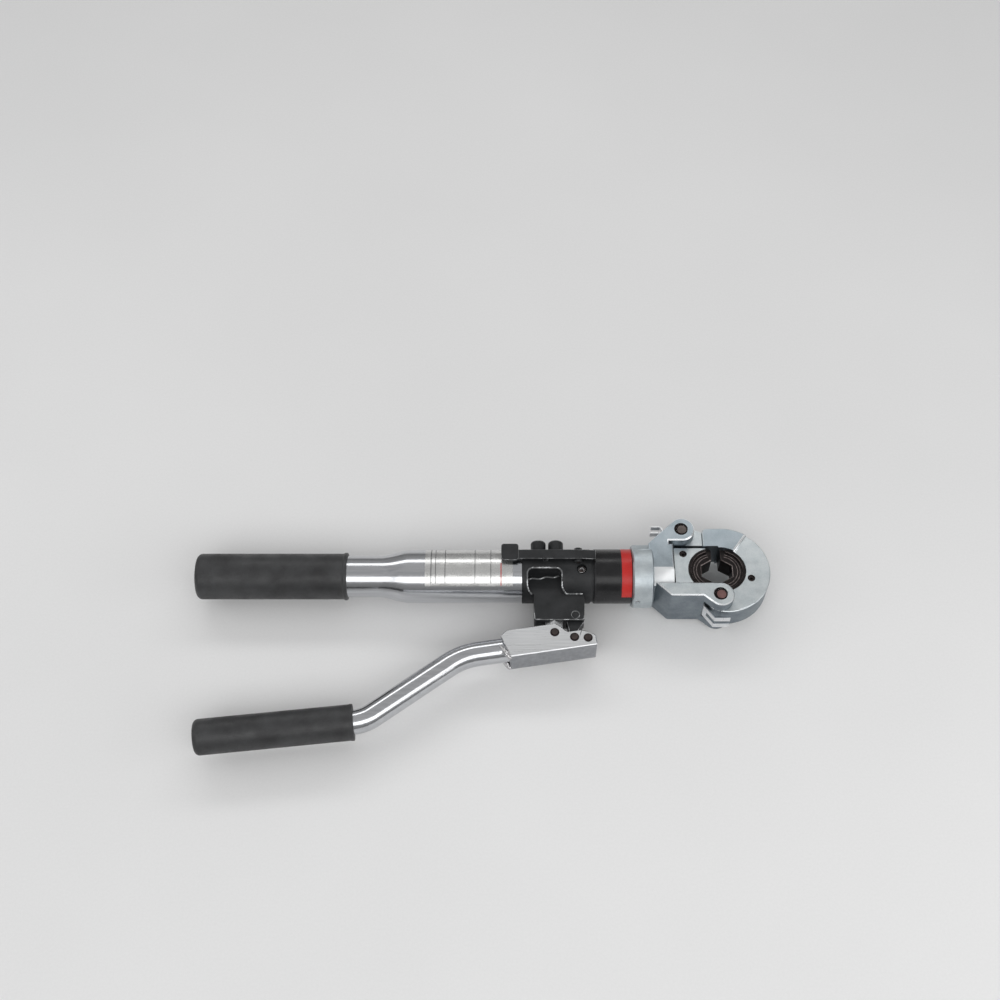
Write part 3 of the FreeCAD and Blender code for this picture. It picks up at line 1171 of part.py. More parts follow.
def make_jaw():
    body = new_body("c_jaw")
    centre = fixed_face + jaw_centre_shift
    shoulder = fixed_face - jaw_shoulder
    thick = slot_half + jaw_pad
    throat = holder_half_width + throat_gap
    over = thick + cut_margin
    reach = 2 * jaw_radius
    disc(body, "XY_Plane", -thick, thick, centre, 0, jaw_radius)
    prism(body, "XY_Plane", -thick, thick, box_points(shoulder, centre, throat, jaw_radius))
    # Everything before the hinge pin is cleared, then the two eyes are added.
    prism(body, "XY_Plane", -over, over,
          box_points(shoulder - jaw_radius, hinge_pin_x, -reach, throat), cut=True)
    prism(body, "XY_Plane", -over, over,
          box_points(shoulder - jaw_radius, shoulder, 0, reach), cut=True)
    round_edges(body, jaw_shoulder_round, stands_at(shoulder, jaw_radius))
    disc(body, "XY_Plane", -slot_half, slot_half, hinge_pin_x, hinge_pin_y, knuckle_radius)
    disc(body, "XY_Plane", -slot_half, slot_half, latch_pin_x, latch_pin_y, knuckle_radius)
    prism(body, "XY_Plane", -slot_half, slot_half, [
        (latch_pin_x, latch_pin_y), (latch_pin_x, latch_pin_y - knuckle_radius),
        (shoulder + cut_margin, latch_pin_y - knuckle_radius),
        (shoulder + cut_margin, jaw_radius - tongue_drop),
        (latch_pin_x + knuckle_radius * cosine(tongue_angle),
         latch_pin_y + knuckle_radius * sine(tongue_angle))])

    # The faces step down beyond the thicker part.
    c = cosine(jaw_pad_angle)
    s = sine(jaw_pad_angle)
    for z0, z1 in ((slot_half, over), (-over, -slot_half)):
        prism(body, "XY_Plane", z0, z1, [
            (fixed_face, 0), (fixed_face + reach * c, reach * s), (centre + reach, -reach),
            (shoulder - jaw_radius, -reach), (shoulder - jaw_radius, 0)], cut=True)

    chamfer_edges(body, jaw_edge, arc_of(jaw_radius))

    # Cup of the fixed die and the throat for the die holder
    disc(body, "XY_Plane", -over, over, fixed_face, 0, die_radius + seat_gap, cut=True)
    prism(body, "XY_Plane", -over, over, box_points(
        fork_root, fixed_face - throat_step, -throat, throat), cut=True)
    for x, y in ((hinge_pin_x, hinge_pin_y), (latch_pin_x, latch_pin_y)):
        disc(body, "XY_Plane", -over, over, x, y, pin_radius + running_fit, cut=True)
    pin_x = fixed_face + jaw_pin_x
    disc(body, "XY_Plane", -over, over, pin_x, -jaw_pin_y, die_pin_radius + seat_gap, cut=True)
    die_pin("jaw_die_pin", pin_x, -jaw_pin_y)


def make_die(label, face, side):
    body = new_body(label)
    place(body, face)
    over = die_half + cut_margin
    dished = die_half - die_dish
    upright(body, [
        (0, -die_half), (die_radius, -die_half), (die_radius, -die_groove_half),
        (die_radius - die_groove, -die_groove_half), (die_radius - die_groove, die_groove_half),
        (die_radius, die_groove_half), (die_radius, die_half), (die_radius - die_rim, die_half),
        (die_radius - die_rim, dished), (0, dished)])
    disc(body, "XY_Plane", -over, -dished, 0, 0, die_radius - die_rim, cut=True)
    prism(body, "XY_Plane", -over, over, hexagon(die_flats, 0, 0, 30), cut=True)
    wide = die_radius + cut_margin
    half = box_points(0, wide, -wide, wide) if side < 0 else box_points(-wide, 0, -wide, wide)
    prism(body, "XY_Plane", -over, over, half, cut=True)
    # Notches at both ends of the rim, beside the parting face
    notch = (-die_notch, cut_margin) if side < 0 else (-cut_margin, die_notch)
    near = die_radius - die_rim - cut_margin
    for low, high in ((near, wide), (-wide, -near)):
        prism(body, "XY_Plane", dished, over, box_points(notch[0], notch[1], low, high), cut=True)


def leaf(label, line):
    # A strip of even thickness that follows a chain of points, offset at each corner.
    left = []
    right = []
    half = leaf_sheet / 2
    count = len(line)
    for i in range(count):
        before = line[max(i - 1, 0)]
        after = line[min(i + 1, count - 1)]
        dx = after[0] - before[0]
        dy = after[1] - before[1]
        span = root(dx * dx + dy * dy)
        left.append((line[i][0] - dy / span * half, line[i][1] + dx / span * half))
        right.append((line[i][0] + dy / span * half, line[i][1] - dx / span * half))
    body = new_body(label)
    prism(body, "XY_Plane", -leaf_half, leaf_half, left + right[::-1])


def make_leaf_springs():
    x = fork_root + front_slot_root + leaf_root_gap + leaf_sheet / 2
    arm = -front_arm_face
    leaf("hinge_leaf_spring", [
        (x, arm + leaf_tuck), (x, arm - front_leaf_stand),
        (x + front_leaf_run, -front_leaf_reach), (fork_root + front_leaf_tip, -front_leaf_reach)])
    x = fork_root - back_slot_root + leaf_root_gap + leaf_sheet / 2
    leaf("latch_leaf_spring", [
        (x, back_leaf_root), (x, back_leaf_bend), (x - back_leaf_run, back_leaf_reach),
        (fork_root - back_leaf_tip, back_leaf_reach)])


make_handle()
make_pump_body()
make_pump_fittings()
make_linkage()
make_lever()
make_release()
make_cylinder()
make_piston()
make_head()
make_die_holder()
make_jaw()
make_die("moving_die", moving_face, -1)
make_die("fixed_die", fixed_face, 1)
make_leaf_springs()
doc.recompute()

for item in doc.Objects:
    if "Invalid" in item.State or "Error" in item.State:
        raise RuntimeError("%s failed: %s" % (item.Name, item.State))
for item in subparts:
    shape = item.Shape
    if shape.isNull() or not shape.isValid() or not shape.Solids:
        raise RuntimeError("%s has no valid solid" % item.Label)
    if shape.Volume <= 0:
        raise RuntimeError("%s is inside out" % item.Label)

for item in subparts:
    item.Shape.exportStep("parts/%s.step" % item.Label)
    print("%-22s %2d solid %9.1f mm3" % (item.Label, len(item.Shape.Solids), item.Shape.Volume))
print("%d nodes" % len(subparts))
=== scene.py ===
import bmesh
import bpy
import json
import math
from mathutils import Euler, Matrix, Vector

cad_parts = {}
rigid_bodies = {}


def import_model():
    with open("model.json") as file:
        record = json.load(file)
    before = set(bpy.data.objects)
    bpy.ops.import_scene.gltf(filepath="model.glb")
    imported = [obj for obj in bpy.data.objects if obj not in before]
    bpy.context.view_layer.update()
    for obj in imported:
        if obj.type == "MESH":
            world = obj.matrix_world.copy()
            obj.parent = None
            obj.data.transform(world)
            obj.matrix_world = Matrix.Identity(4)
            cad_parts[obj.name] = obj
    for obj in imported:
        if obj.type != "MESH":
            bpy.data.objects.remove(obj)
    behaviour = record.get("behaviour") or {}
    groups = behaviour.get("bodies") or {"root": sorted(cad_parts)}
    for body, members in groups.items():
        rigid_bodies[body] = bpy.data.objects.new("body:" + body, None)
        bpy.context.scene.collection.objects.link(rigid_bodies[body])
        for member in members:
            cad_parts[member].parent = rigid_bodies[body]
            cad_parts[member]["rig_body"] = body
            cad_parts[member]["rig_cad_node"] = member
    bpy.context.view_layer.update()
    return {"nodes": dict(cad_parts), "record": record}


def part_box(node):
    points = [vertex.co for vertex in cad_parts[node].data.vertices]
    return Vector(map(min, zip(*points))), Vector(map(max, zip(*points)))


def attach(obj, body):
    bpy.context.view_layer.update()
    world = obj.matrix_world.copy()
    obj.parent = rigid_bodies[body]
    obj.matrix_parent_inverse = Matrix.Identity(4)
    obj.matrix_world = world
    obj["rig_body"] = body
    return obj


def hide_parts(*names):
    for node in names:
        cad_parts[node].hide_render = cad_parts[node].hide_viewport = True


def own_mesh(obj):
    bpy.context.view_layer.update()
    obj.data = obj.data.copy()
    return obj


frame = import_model()
record = frame["record"]
print("frame loaded:", len(frame["nodes"]), "nodes")

mm = 0.001
bodyOfNode = {node: body for body, nodes in record["behaviour"]["bodies"].items() for node in nodes}


# Small helpers for selecting and finishing

helperLook = {"mergeReach": 1e-6, "smoothAngle": 34, "normalWeight": 60}


def deselectAll():
    if bpy.context.object and bpy.context.object.mode != "OBJECT":
        bpy.ops.object.mode_set(mode="OBJECT")
    bpy.ops.object.select_all(action="DESELECT")


def makeActive(piece):
    deselectAll()
    piece.select_set(True)
    bpy.context.view_layer.objects.active = piece


def applyModifiers(piece):
    makeActive(piece)
    for modifier in list(piece.modifiers):
        bpy.ops.object.modifier_apply(modifier=modifier.name)


def settle(piece):
    # the place goes into the mesh, the object stays at the origin
    makeActive(piece)
    bpy.ops.object.transform_apply(location=True, rotation=True, scale=True)


def editWhole(piece):
    makeActive(piece)
    bpy.ops.object.mode_set(mode="EDIT")
    bpy.ops.mesh.select_all(action="SELECT")


def facesOutward(piece):
    editWhole(piece)
    bpy.ops.mesh.remove_doubles(threshold=helperLook["mergeReach"])
    bpy.ops.mesh.normals_make_consistent(inside=False)
    bpy.ops.object.mode_set(mode="OBJECT")


def setMaterials(piece, *materials):
    piece.data.materials.clear()
    for material in materials:
        piece.data.materials.append(material)


def smoothShade(piece, angle=helperLook["smoothAngle"]):
    makeActive(piece)
    bpy.ops.object.shade_smooth_by_angle(angle=math.radians(angle))


def weightedNormals(piece):
    modifier = piece.modifiers.new("evenNormals", "WEIGHTED_NORMAL")
    modifier.weight = helperLook["normalWeight"]
    modifier.keep_sharp = True
    applyModifiers(piece)


# Shader node groups that several finishes share

def makeGroup(name, inputs, output):
    group = bpy.data.node_groups.new(name, "ShaderNodeTree")
    for label, value in inputs.items():
        kind = "NodeSocketVector" if isinstance(value, tuple) else "NodeSocketFloat"
        item = group.interface.new_socket(name=label, in_out="INPUT", socket_type=kind)
        item.default_value = value
    group.interface.new_socket(name=output, in_out="OUTPUT", socket_type="NodeSocketFloat")
    start = group.nodes.new("NodeGroupInput")
    end = group.nodes.new("NodeGroupOutput")
    return group, start, end


def addNoise(tree, vector, scale, detail, roughness=0.55):
    noise = tree.nodes.new("ShaderNodeTexNoise")
    noise.inputs["Detail"].default_value = detail
    noise.inputs["Roughness"].default_value = roughness
    tree.links.new(vector, noise.inputs["Vector"])
    if isinstance(scale, (int, float)):
        noise.inputs["Scale"].default_value = scale
    else:
        tree.links.new(scale, noise.inputs["Scale"])
    return noise.outputs["Fac"]


def addRange(tree, value, fromLow, fromHigh, low, high):
    remap = tree.nodes.new("ShaderNodeMapRange")
    tree.links.new(value, remap.inputs["Value"])
    for label, given in (("From Min", fromLow), ("From Max", fromHigh), ("To Min", low),
                         ("To Max", high)):
        if isinstance(given, (int, float)):
            remap.inputs[label].default_value = given
        else:
            tree.links.new(given, remap.inputs[label])
    return remap.outputs["Result"]


def addMath(tree, kind, first, second):
    node = tree.nodes.new("ShaderNodeMath")
    node.operation = kind
    for i, given in enumerate((first, second)):
        if isinstance(given, (int, float)):
            node.inputs[i].default_value = given
        else:
            tree.links.new(given, node.inputs[i])
    return node.outputs["Value"]


def stretchedPlace(group, start):
    stretched = group.nodes.new("ShaderNodeVectorMath")
    stretched.operation = "MULTIPLY"
    group.links.new(start.outputs["Vector"], stretched.inputs[0])
    group.links.new(start.outputs["Stretch"], stretched.inputs[1])
    return stretched.outputs["Vector"]


mottleLook = {"patchDetail": 3, "grainDetail": 2, "patchShare": 0.65, "grainShare": 0.35,
              "least": 0.36, "most": 0.64}


def buildMottle():
    # soft patches with fine grain over them, between two values
    look = mottleLook
    group, start, end = makeGroup("mottle", {
        "Vector": (0, 0, 0), "Patch Scale": 30.0, "Grain Scale": 600.0, "Low": 0.0,
        "High": 1.0}, "Value")
    place = start.outputs["Vector"]
    patches = addNoise(group, place, start.outputs["Patch Scale"], look["patchDetail"])
    grain = addNoise(group, place, start.outputs["Grain Scale"], look["grainDetail"])
    both = addMath(group, "ADD", addMath(group, "MULTIPLY", patches, look["patchShare"]),
                   addMath(group, "MULTIPLY", grain, look["grainShare"]))
    value = addRange(group, both, look["least"], look["most"], start.outputs["Low"],
                     start.outputs["High"])
    group.links.new(value, end.inputs["Value"])
    return group


brushLook = {"detail": 4, "roughness": 0.65, "least": 0.32, "most": 0.68}


def buildBrushLines():
    # fine lines drawn out along one direction
    look = brushLook
    group, start, end = makeGroup("brushLines", {
        "Vector": (0, 0, 0), "Stretch": (20, 900, 900), "Low": 0.0, "High": 1.0}, "Value")
    lines = addNoise(group, stretchedPlace(group, start), 1.0, look["detail"], look["roughness"])
    value = addRange(group, lines, look["least"], look["most"], start.outputs["Low"],
                     start.outputs["High"])
    group.links.new(value, end.inputs["Value"])
    return group


skinLook = {"swellDetail": 3, "finer": 4.5, "pitDetail": 2, "pitLow": 0.5, "pitHigh": 0.75}


def buildCastSkin():
    # uneven skin of a casting or forging, as a height
    look = skinLook
    group, start, end = makeGroup("castSkin", {
        "Vector": (0, 0, 0), "Scale": 220.0, "Pits": 0.4}, "Height")
    place = start.outputs["Vector"]
    swell = addNoise(group, place, start.outputs["Scale"], look["swellDetail"])
    finer = addMath(group, "MULTIPLY", start.outputs["Scale"], look["finer"])
    pits = addNoise(group, place, finer, look["pitDetail"])
    sharpened = addRange(group, pits, look["pitLow"], look["pitHigh"], 0.0, 1.0)
    total = addMath(group, "ADD", swell, addMath(group, "MULTIPLY", sharpened,
                                                 start.outputs["Pits"]))
    group.links.new(total, end.inputs["Height"])
    return group


scuffLook = {"detail": 5, "roughness": 0.7, "placeScale": 45.0, "placeDetail": 2,
             "streakShare": 0.6, "placeShare": 0.4, "softness": 0.05}


def buildScuffs():
    # sparse rubbed marks, 1 where the surface is worn
    look = scuffLook
    group, start, end = makeGroup("scuffs", {
        "Vector": (0, 0, 0), "Stretch": (60, 400, 400), "Cover": 0.66}, "Mask")
    streaks = addNoise(group, stretchedPlace(group, start), 1.0, look["detail"],
                       look["roughness"])
    places = addNoise(group, start.outputs["Vector"], look["placeScale"], look["placeDetail"])
    both = addMath(group, "ADD", addMath(group, "MULTIPLY", streaks, look["streakShare"]),
                   addMath(group, "MULTIPLY", places, look["placeShare"]))
    limit = addMath(group, "ADD", start.outputs["Cover"], look["softness"])
    group.links.new(addRange(group, both, start.outputs["Cover"], limit, 0.0, 1.0),
                    end.inputs["Mask"])
    return group


mottle = buildMottle()
brushLines = buildBrushLines()
castSkin = buildCastSkin()
scuffs = buildScuffs()
print("node groups ready")


# Materials

def startMaterial(name, roughness, metallic=0.0):
    material = bpy.data.materials.new(name)
    material.use_nodes = True
    shader = material.node_tree.nodes["Principled BSDF"]
    shader.inputs["Roughness"].default_value = roughness
    shader.inputs["Metallic"].default_value = metallic
    place = material.node_tree.nodes.new("ShaderNodeTexCoord").outputs["Object"]
    return material, material.node_tree, shader, place


def useGroup(tree, group, place, **values):
    node = tree.nodes.new("ShaderNodeGroup")
    node.node_tree = group
    tree.links.new(place, node.inputs["Vector"])
    for label, value in values.items():
        node.inputs[label.replace("_", " ")].default_value = value
    return node.outputs[0]


def colorBase(tree, shader, factor, first, second):
    # the shader's base colour runs from the first colour to the second
    mix = tree.nodes.new("ShaderNodeMix")
    mix.data_type = "RGBA"
    tree.links.new(factor, mix.inputs["Factor"])
    for label, color in (("A", first), ("B", second)):
        socket = [item for item in mix.inputs if item.name == label and item.type == "RGBA"][0]
        socket.default_value = (*color, 1)
    blended = [item for item in mix.outputs if item.type == "RGBA"][0]
    tree.links.new(blended, shader.inputs["Base Color"])


def bump(tree, shader, height, strength, distance):
    node = tree.nodes.new("ShaderNodeBump")
    node.inputs["Strength"].default_value = strength
    node.inputs["Distance"].default_value = distance
    tree.links.new(height, node.inputs["Height"])
    tree.links.new(node.outputs["Normal"], shader.inputs["Normal"])


def mottleRough(tree, shader, place, patchScale, grainScale, low, high):
    rough = useGroup(tree, mottle, place, Patch_Scale=patchScale, Grain_Scale=grainScale,
                     Low=low, High=high)
    tree.links.new(rough, shader.inputs["Roughness"])


def rubberFinish():
    look = {"dark": (0.017, 0.017, 0.018), "light": (0.046, 0.047, 0.049), "roughLow": 0.36,
            "roughHigh": 0.62, "grain": 1500.0}
    material, tree, shader, place = startMaterial("gripRubber", look["roughLow"])
    patches = useGroup(tree, mottle, place, Patch_Scale=42.0, Grain_Scale=look["grain"])
    colorBase(tree, shader, patches, look["dark"], look["light"])
    mottleRough(tree, shader, place, patchScale=65.0, grainScale=look["grain"],
                low=look["roughHigh"], high=look["roughLow"])
    skin = useGroup(tree, castSkin, place, Scale=900.0, Pits=0.5)
    bump(tree, shader, skin, strength=0.35, distance=0.00012)
    return material


def polishedFinish():
    look = {"bright": (0.63, 0.64, 0.66), "dull": (0.52, 0.53, 0.55), "roughLow": 0.11,
            "roughHigh": 0.22}
    material, tree, shader, place = startMaterial("polishedTube", look["roughLow"], metallic=1.0)
    lines = useGroup(tree, brushLines, place, Stretch=(14, 700, 700), Low=look["roughLow"],
                     High=look["roughHigh"])
    tree.links.new(lines, shader.inputs["Roughness"])
    rubbed = useGroup(tree, brushLines, place, Stretch=(9, 260, 260))
    colorBase(tree, shader, rubbed, look["bright"], look["dull"])
    waves = useGroup(tree, castSkin, place, Scale=38.0, Pits=0.0)
    bump(tree, shader, waves, strength=0.1, distance=0.0003)
    return material


def zincFinish(name, bright, dull, roughLow, roughHigh, skinDepth):
    material, tree, shader, place = startMaterial(name, roughLow, metallic=1.0)
    patches = useGroup(tree, mottle, place, Patch_Scale=70.0, Grain_Scale=900.0)
    colorBase(tree, shader, patches, bright, dull)
    mottleRough(tree, shader, place, patchScale=110.0, grainScale=1400.0, low=roughLow,
                high=roughHigh)
    skin = useGroup(tree, castSkin, place, Scale=260.0, Pits=0.35)
    bump(tree, shader, skin, strength=0.3, distance=skinDepth)
    return material


def bracketFinish():
    look = {"bright": (0.82, 0.83, 0.84), "dull": (0.69, 0.70, 0.71), "roughLow": 0.26,
            "roughHigh": 0.42}
    material, tree, shader, place = startMaterial("bracketSheet", look["roughLow"], metallic=1.0)
    lines = useGroup(tree, brushLines, place, Stretch=(30, 900, 1200), Low=look["roughLow"],
                     High=look["roughHigh"])
    tree.links.new(lines, shader.inputs["Roughness"])
    shade = useGroup(tree, brushLines, place, Stretch=(22, 600, 500))
    colorBase(tree, shader, shade, look["bright"], look["dull"])
    bump(tree, shader, shade, strength=0.1, distance=0.00008)
    return material


def foilFinish():
    look = {"bright": (0.74, 0.74, 0.73), "dull": (0.66, 0.66, 0.65), "roughness": 0.24,
            "metallic": 0.9, "roughLow": 0.18, "roughHigh": 0.34}
    material, tree, shader, place = startMaterial("foilSilver", look["roughness"],
                                                  look["metallic"])
    shade = useGroup(tree, brushLines, place, Stretch=(60, 500, 500))
    colorBase(tree, shader, shade, look["bright"], look["dull"])
    mottleRough(tree, shader, place, patchScale=80.0, grainScale=1200.0, low=look["roughLow"],
                high=look["roughHigh"])
    wrinkles = useGroup(tree, castSkin, place, Scale=110.0, Pits=0.0)
    bump(tree, shader, wrinkles, strength=0.2, distance=0.0002)
    return material


def paintFinish(name, dark, light, roughLow, roughHigh, skinScale, skinDepth):
    material, tree, shader, place = startMaterial(name, roughLow)
    shader.inputs["Specular IOR Level"].default_value = 0.32
    patches = useGroup(tree, mottle, place, Patch_Scale=60.0, Grain_Scale=1000.0)
    colorBase(tree, shader, patches, dark, light)
    mottleRough(tree, shader, place, patchScale=85.0, grainScale=1300.0, low=roughLow,
                high=roughHigh)
    skin = useGroup(tree, castSkin, place, Scale=skinScale, Pits=0.5)
    bump(tree, shader, skin, strength=0.35, distance=skinDepth)
    return material


def wornAndHighlitEdgeFinish():
    # rounded edges, beads and ridges of the casting: paint lighter than the body's as a painted
    # highlight, with bare metal where the paint has rubbed through in places
    look = {"metal": (0.56, 0.57, 0.58), "paint": (0.13, 0.133, 0.136), "roughness": 0.4,
            "cover": 0.5}
    material, tree, shader, place = startMaterial("castingWornEdgeAndHighlight", look["roughness"])
    wornAndHighlit = useGroup(tree, scuffs, place, Stretch=(180, 180, 180), Cover=look["cover"])
    colorBase(tree, shader, wornAndHighlit, look["paint"], look["metal"])
    tree.links.new(wornAndHighlit, shader.inputs["Metallic"])
    return material


def oxideFinish(name, dark, brown, roughLow, roughHigh):
    material, tree, shader, place = startMaterial(name, roughLow, metallic=0.85)
    stains = useGroup(tree, mottle, place, Patch_Scale=160.0, Grain_Scale=1500.0)
    colorBase(tree, shader, stains, dark, brown)
    mottleRough(tree, shader, place, patchScale=240.0, grainScale=1800.0, low=roughLow,
                high=roughHigh)
    skin = useGroup(tree, castSkin, place, Scale=700.0, Pits=0.3)
    bump(tree, shader, skin, strength=0.2, distance=0.00005)
    return material


def brightSteelFinish(name, bright, dull, roughLow, roughHigh):
    material, tree, shader, place = startMaterial(name, roughLow, metallic=1.0)
    shade = useGroup(tree, mottle, place, Patch_Scale=180.0, Grain_Scale=1600.0)
    colorBase(tree, shader, shade, bright, dull)
    rough = useGroup(tree, brushLines, place, Stretch=(500, 500, 40), Low=roughLow,
                     High=roughHigh)
    tree.links.new(rough, shader.inputs["Roughness"])
    bump(tree, shader, rough, strength=0.08, distance=0.00004)
    return material


# bright and dull colour, lowest and highest roughness, depth of the skin in metres
zincLook = {
    "zincForging": ((0.66, 0.70, 0.71), (0.52, 0.57, 0.59), 0.28, 0.42, 0.0002),
    # painted shade: a darker copy of the zinc for the back arm's top and the jaw's ramp pad
    "zincShade": ((0.48, 0.54, 0.58), (0.37, 0.43, 0.47), 0.3, 0.44, 0.0002),
    # painted shade: a darker copy of the zinc for upright side faces
    "zincFlank": ((0.29, 0.33, 0.36), (0.20, 0.23, 0.26), 0.34, 0.5, 0.00024),
    "zincCollar": ((0.60, 0.65, 0.67), (0.47, 0.52, 0.55), 0.44, 0.58, 0.0002),
    # painted highlight: a near-white copy of the zinc for the head's chamfers and rounded edges
    "zincEdge": ((0.92, 0.94, 0.95), (0.82, 0.85, 0.87), 0.24, 0.36, 0.00004),
    # painted highlight: a near-white copy of the zinc for the neck's leaning facet
    "zincBright": ((0.94, 0.95, 0.96), (0.86, 0.89, 0.90), 0.4, 0.5, 0.0001),
}
# dark and light colour, lowest and highest roughness, scale and depth of the skin
paintedLook = {
    "blackCasting": ((0.011, 0.012, 0.013), (0.026, 0.027, 0.029), 0.34, 0.54, 420.0, 0.0002),
    "barrelPaint": ((0.012, 0.012, 0.013), (0.024, 0.024, 0.026), 0.24, 0.4, 900.0, 0.00006),
    "sealRubber": ((0.02, 0.02, 0.02), (0.04, 0.04, 0.04), 0.4, 0.6, 1200.0, 0.00004),
    "foilPrint": ((0.03, 0.03, 0.035), (0.06, 0.06, 0.065), 0.3, 0.4, 900.0, 0.00002),
    "redBand": ((0.50, 0.022, 0.020), (0.60, 0.035, 0.030), 0.26, 0.38, 1100.0, 0.00004),
    "labelBlack": ((0.010, 0.010, 0.011), (0.018, 0.018, 0.019), 0.2, 0.3, 1100.0, 0.00002),
}
# dark and brown colour, lowest and highest roughness
oxideLook = {
    "pinOxide": ((0.040, 0.034, 0.033), (0.085, 0.068, 0.064), 0.34, 0.5),
    "pinGrey": ((0.095, 0.082, 0.078), (0.17, 0.145, 0.135), 0.34, 0.5),
    "pinBrown": ((0.16, 0.088, 0.082), (0.26, 0.145, 0.135), 0.34, 0.5),
    # painted shadow: a near-black rim for pin holes, recesses and gaps
    "pinRim": ((0.012, 0.010, 0.010), (0.03, 0.02, 0.02), 0.4, 0.6),
    "dieOxide": ((0.012, 0.0105, 0.0105), (0.030, 0.025, 0.024), 0.3, 0.46),
    # painted highlight: a lighter oxide for the dies' edges and turned rings
    "dieEdge": ((0.15, 0.125, 0.12), (0.30, 0.255, 0.245), 0.22, 0.34),
}
# bright and dull colour, lowest and highest roughness
steelLook = {
    # painted highlight: near-white steel for the bracket's rounded and chamfered edges
    "bracketEdge": ((0.95, 0.95, 0.96), (0.84, 0.84, 0.85), 0.2, 0.32),
    # painted shade: a darker copy of the bracket steel for its upright faces
    "bracketFlank": ((0.40, 0.41, 0.43), (0.30, 0.31, 0.33), 0.3, 0.44),
    "brightScrew": ((0.74, 0.75, 0.76), (0.58, 0.59, 0.61), 0.2, 0.34),
    "springSteel": ((0.92, 0.93, 0.94), (0.80, 0.81, 0.83), 0.26, 0.4),
    "groundSteel": ((0.66, 0.67, 0.68), (0.52, 0.53, 0.55), 0.18, 0.3),
    "weldMetal": ((0.78, 0.78, 0.79), (0.50, 0.49, 0.49), 0.14, 0.34),
}
finishes = {"gripRubber": rubberFinish(), "polishedTube": polishedFinish(),
            "bracketSheet": bracketFinish(), "foilSilver": foilFinish(),
            "castingWornEdgeAndHighlight": wornAndHighlitEdgeFinish()}
for build, looks in ((zincFinish, zincLook), (paintFinish, paintedLook),
                     (oxideFinish, oxideLook), (brightSteelFinish, steelLook)):
    for name, look in looks.items():
        finishes[name] = build(name, *look)

slotFinish = {
    "grip_rubber": "gripRubber", "polished_tube": "polishedTube", "zinc_forging": "zincForging",
    "bracket_steel": "bracketSheet", "black_casting": "blackCasting", "dark_pin": "pinOxide",
    "die_steel": "dieOxide", "bright_screw": "brightScrew", "spring_steel": "springSteel",
    "seal_rubber": "sealRubber", "hidden_steel": "groundSteel",
}
nodeSlot = {row["node"]: row["material_slot"] for row in record["subparts"]}
for node, piece in frame["nodes"].items():
    setMaterials(piece, finishes[slotFinish[nodeSlot[node]]])
print("materials ready:", len(finishes))


# Places read from the frame

def centreOf(node):
    low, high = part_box(node)
    return (Vector(low) + Vector(high)) / 2


def sideOf(node, axis, end):
    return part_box(node)[end][axis] / mm


# slopes of the bent lever's three runs against the tool's axis, in degrees
runSlopes = {"shank": 8.9, "drop": 36.2, "tail": 5.96}
leverPivot = centreOf("lever_pivot_pin")
towardTail = {}
for runName, slope in runSlopes.items():
    angle = math.radians(slope)
    towardTail[runName] = Vector((-math.cos(angle), -math.sin(angle), 0))
bracketSlope = math.radians(runSlopes["shank"])
bracketAcross = Vector((-math.sin(bracketSlope), math.cos(bracketSlope), 0))


def settlePiece(piece, body, slotName, *replaced):
    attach(piece, body)
    if replaced:
        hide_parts(*replaced)


def dressPiece(piece, finish, body, slotName, *replaced):
    setMaterials(piece, finishes[finish])
    smoothShade(piece)
    settlePiece(piece, body, slotName, *replaced)


# Turned pieces: a profile drawn point by point, then spun about its axis

def arcPoints(centre, radius, start, end, count):
    # from one angle to another, in degrees
    points = []
    for i in range(count + 1):
        angle = math.radians(start + (end - start) * i / count)
        points.append((centre[0] + radius * math.cos(angle), centre[1] + radius * math.sin(angle)))
    return points


def easedPoints(start, end, count):
    # smooth change of radius between two stations
    points = []
    for i in range(count + 1):
        t = i / count
        blend = t * t * (3 - 2 * t)
        points.append((start[0] + (end[0] - start[0]) * t, start[1] + (end[1] - start[1]) * blend))
    return points


def drawProfile(name, points, origin, along, outward):
    # a small plane merged to one point, drawn out point by point; stays in edit mode
    deselectAll()
    bpy.ops.mesh.primitive_plane_add(size=mm)
    piece = bpy.context.object
    piece.name = name
    bpy.ops.object.mode_set(mode="EDIT")
    bpy.ops.mesh.select_mode(type="VERT")
    bpy.ops.mesh.select_all(action="SELECT")
    bpy.ops.mesh.merge(type="CENTER")
    places = [origin + along * x * mm + outward * r * mm for x, r in points]
    bpy.ops.transform.translate(value=places[0])
    for i in range(1, len(places)):
        step = places[i] - places[i - 1]
        bpy.ops.mesh.extrude_region_move(TRANSFORM_OT_translate={"value": step})
    return piece


def turnedPiece(name, points, origin=Vector((0, 0, 0)), along=Vector((1, 0, 0)),
                outward=Vector((0, 0, 1)), steps=96):
    piece = drawProfile(name, points, origin, along, outward)
    bpy.ops.mesh.select_all(action="SELECT")
    bpy.ops.mesh.spin(steps=steps, angle=math.tau, center=origin, axis=along)
    bpy.ops.object.mode_set(mode="OBJECT")
    facesOutward(piece)
    return piece


def sleeveOn(name, points, spread, middle, thickness, steps=48):
    # part of a turned wall: a label, band or plate that lies on a tube
    start = math.radians(middle - spread / 2)
    outward = Vector((0, -math.sin(start), math.cos(start)))
    piece = drawProfile(name, points, Vector((0, 0, 0)), Vector((1, 0, 0)), outward)
    bpy.ops.mesh.select_all(action="SELECT")
    bpy.ops.mesh.spin(steps=steps, angle=-math.radians(spread), center=(0, 0, 0), axis=(1, 0, 0))
    bpy.ops.object.mode_set(mode="OBJECT")
    facesOutward(piece)
    solid = piece.modifiers.new("thickness", "SOLIDIFY")
    solid.thickness = thickness * mm
    solid.offset = 0
    applyModifiers(piece)
    return piece


# Fixed grip and reservoir tube

gripLook = {"rearRound": 5.5, "rearSteps": 10, "lipWidth": 2.6, "lipEase": 2.0, "easeSteps": 6,
            "lipRound": 0.9, "lipSteps": 5, "endWall": 4.0, "clearance": 0.1,
            "fixedRadius": 24.0, "fixedLip": 25.0}


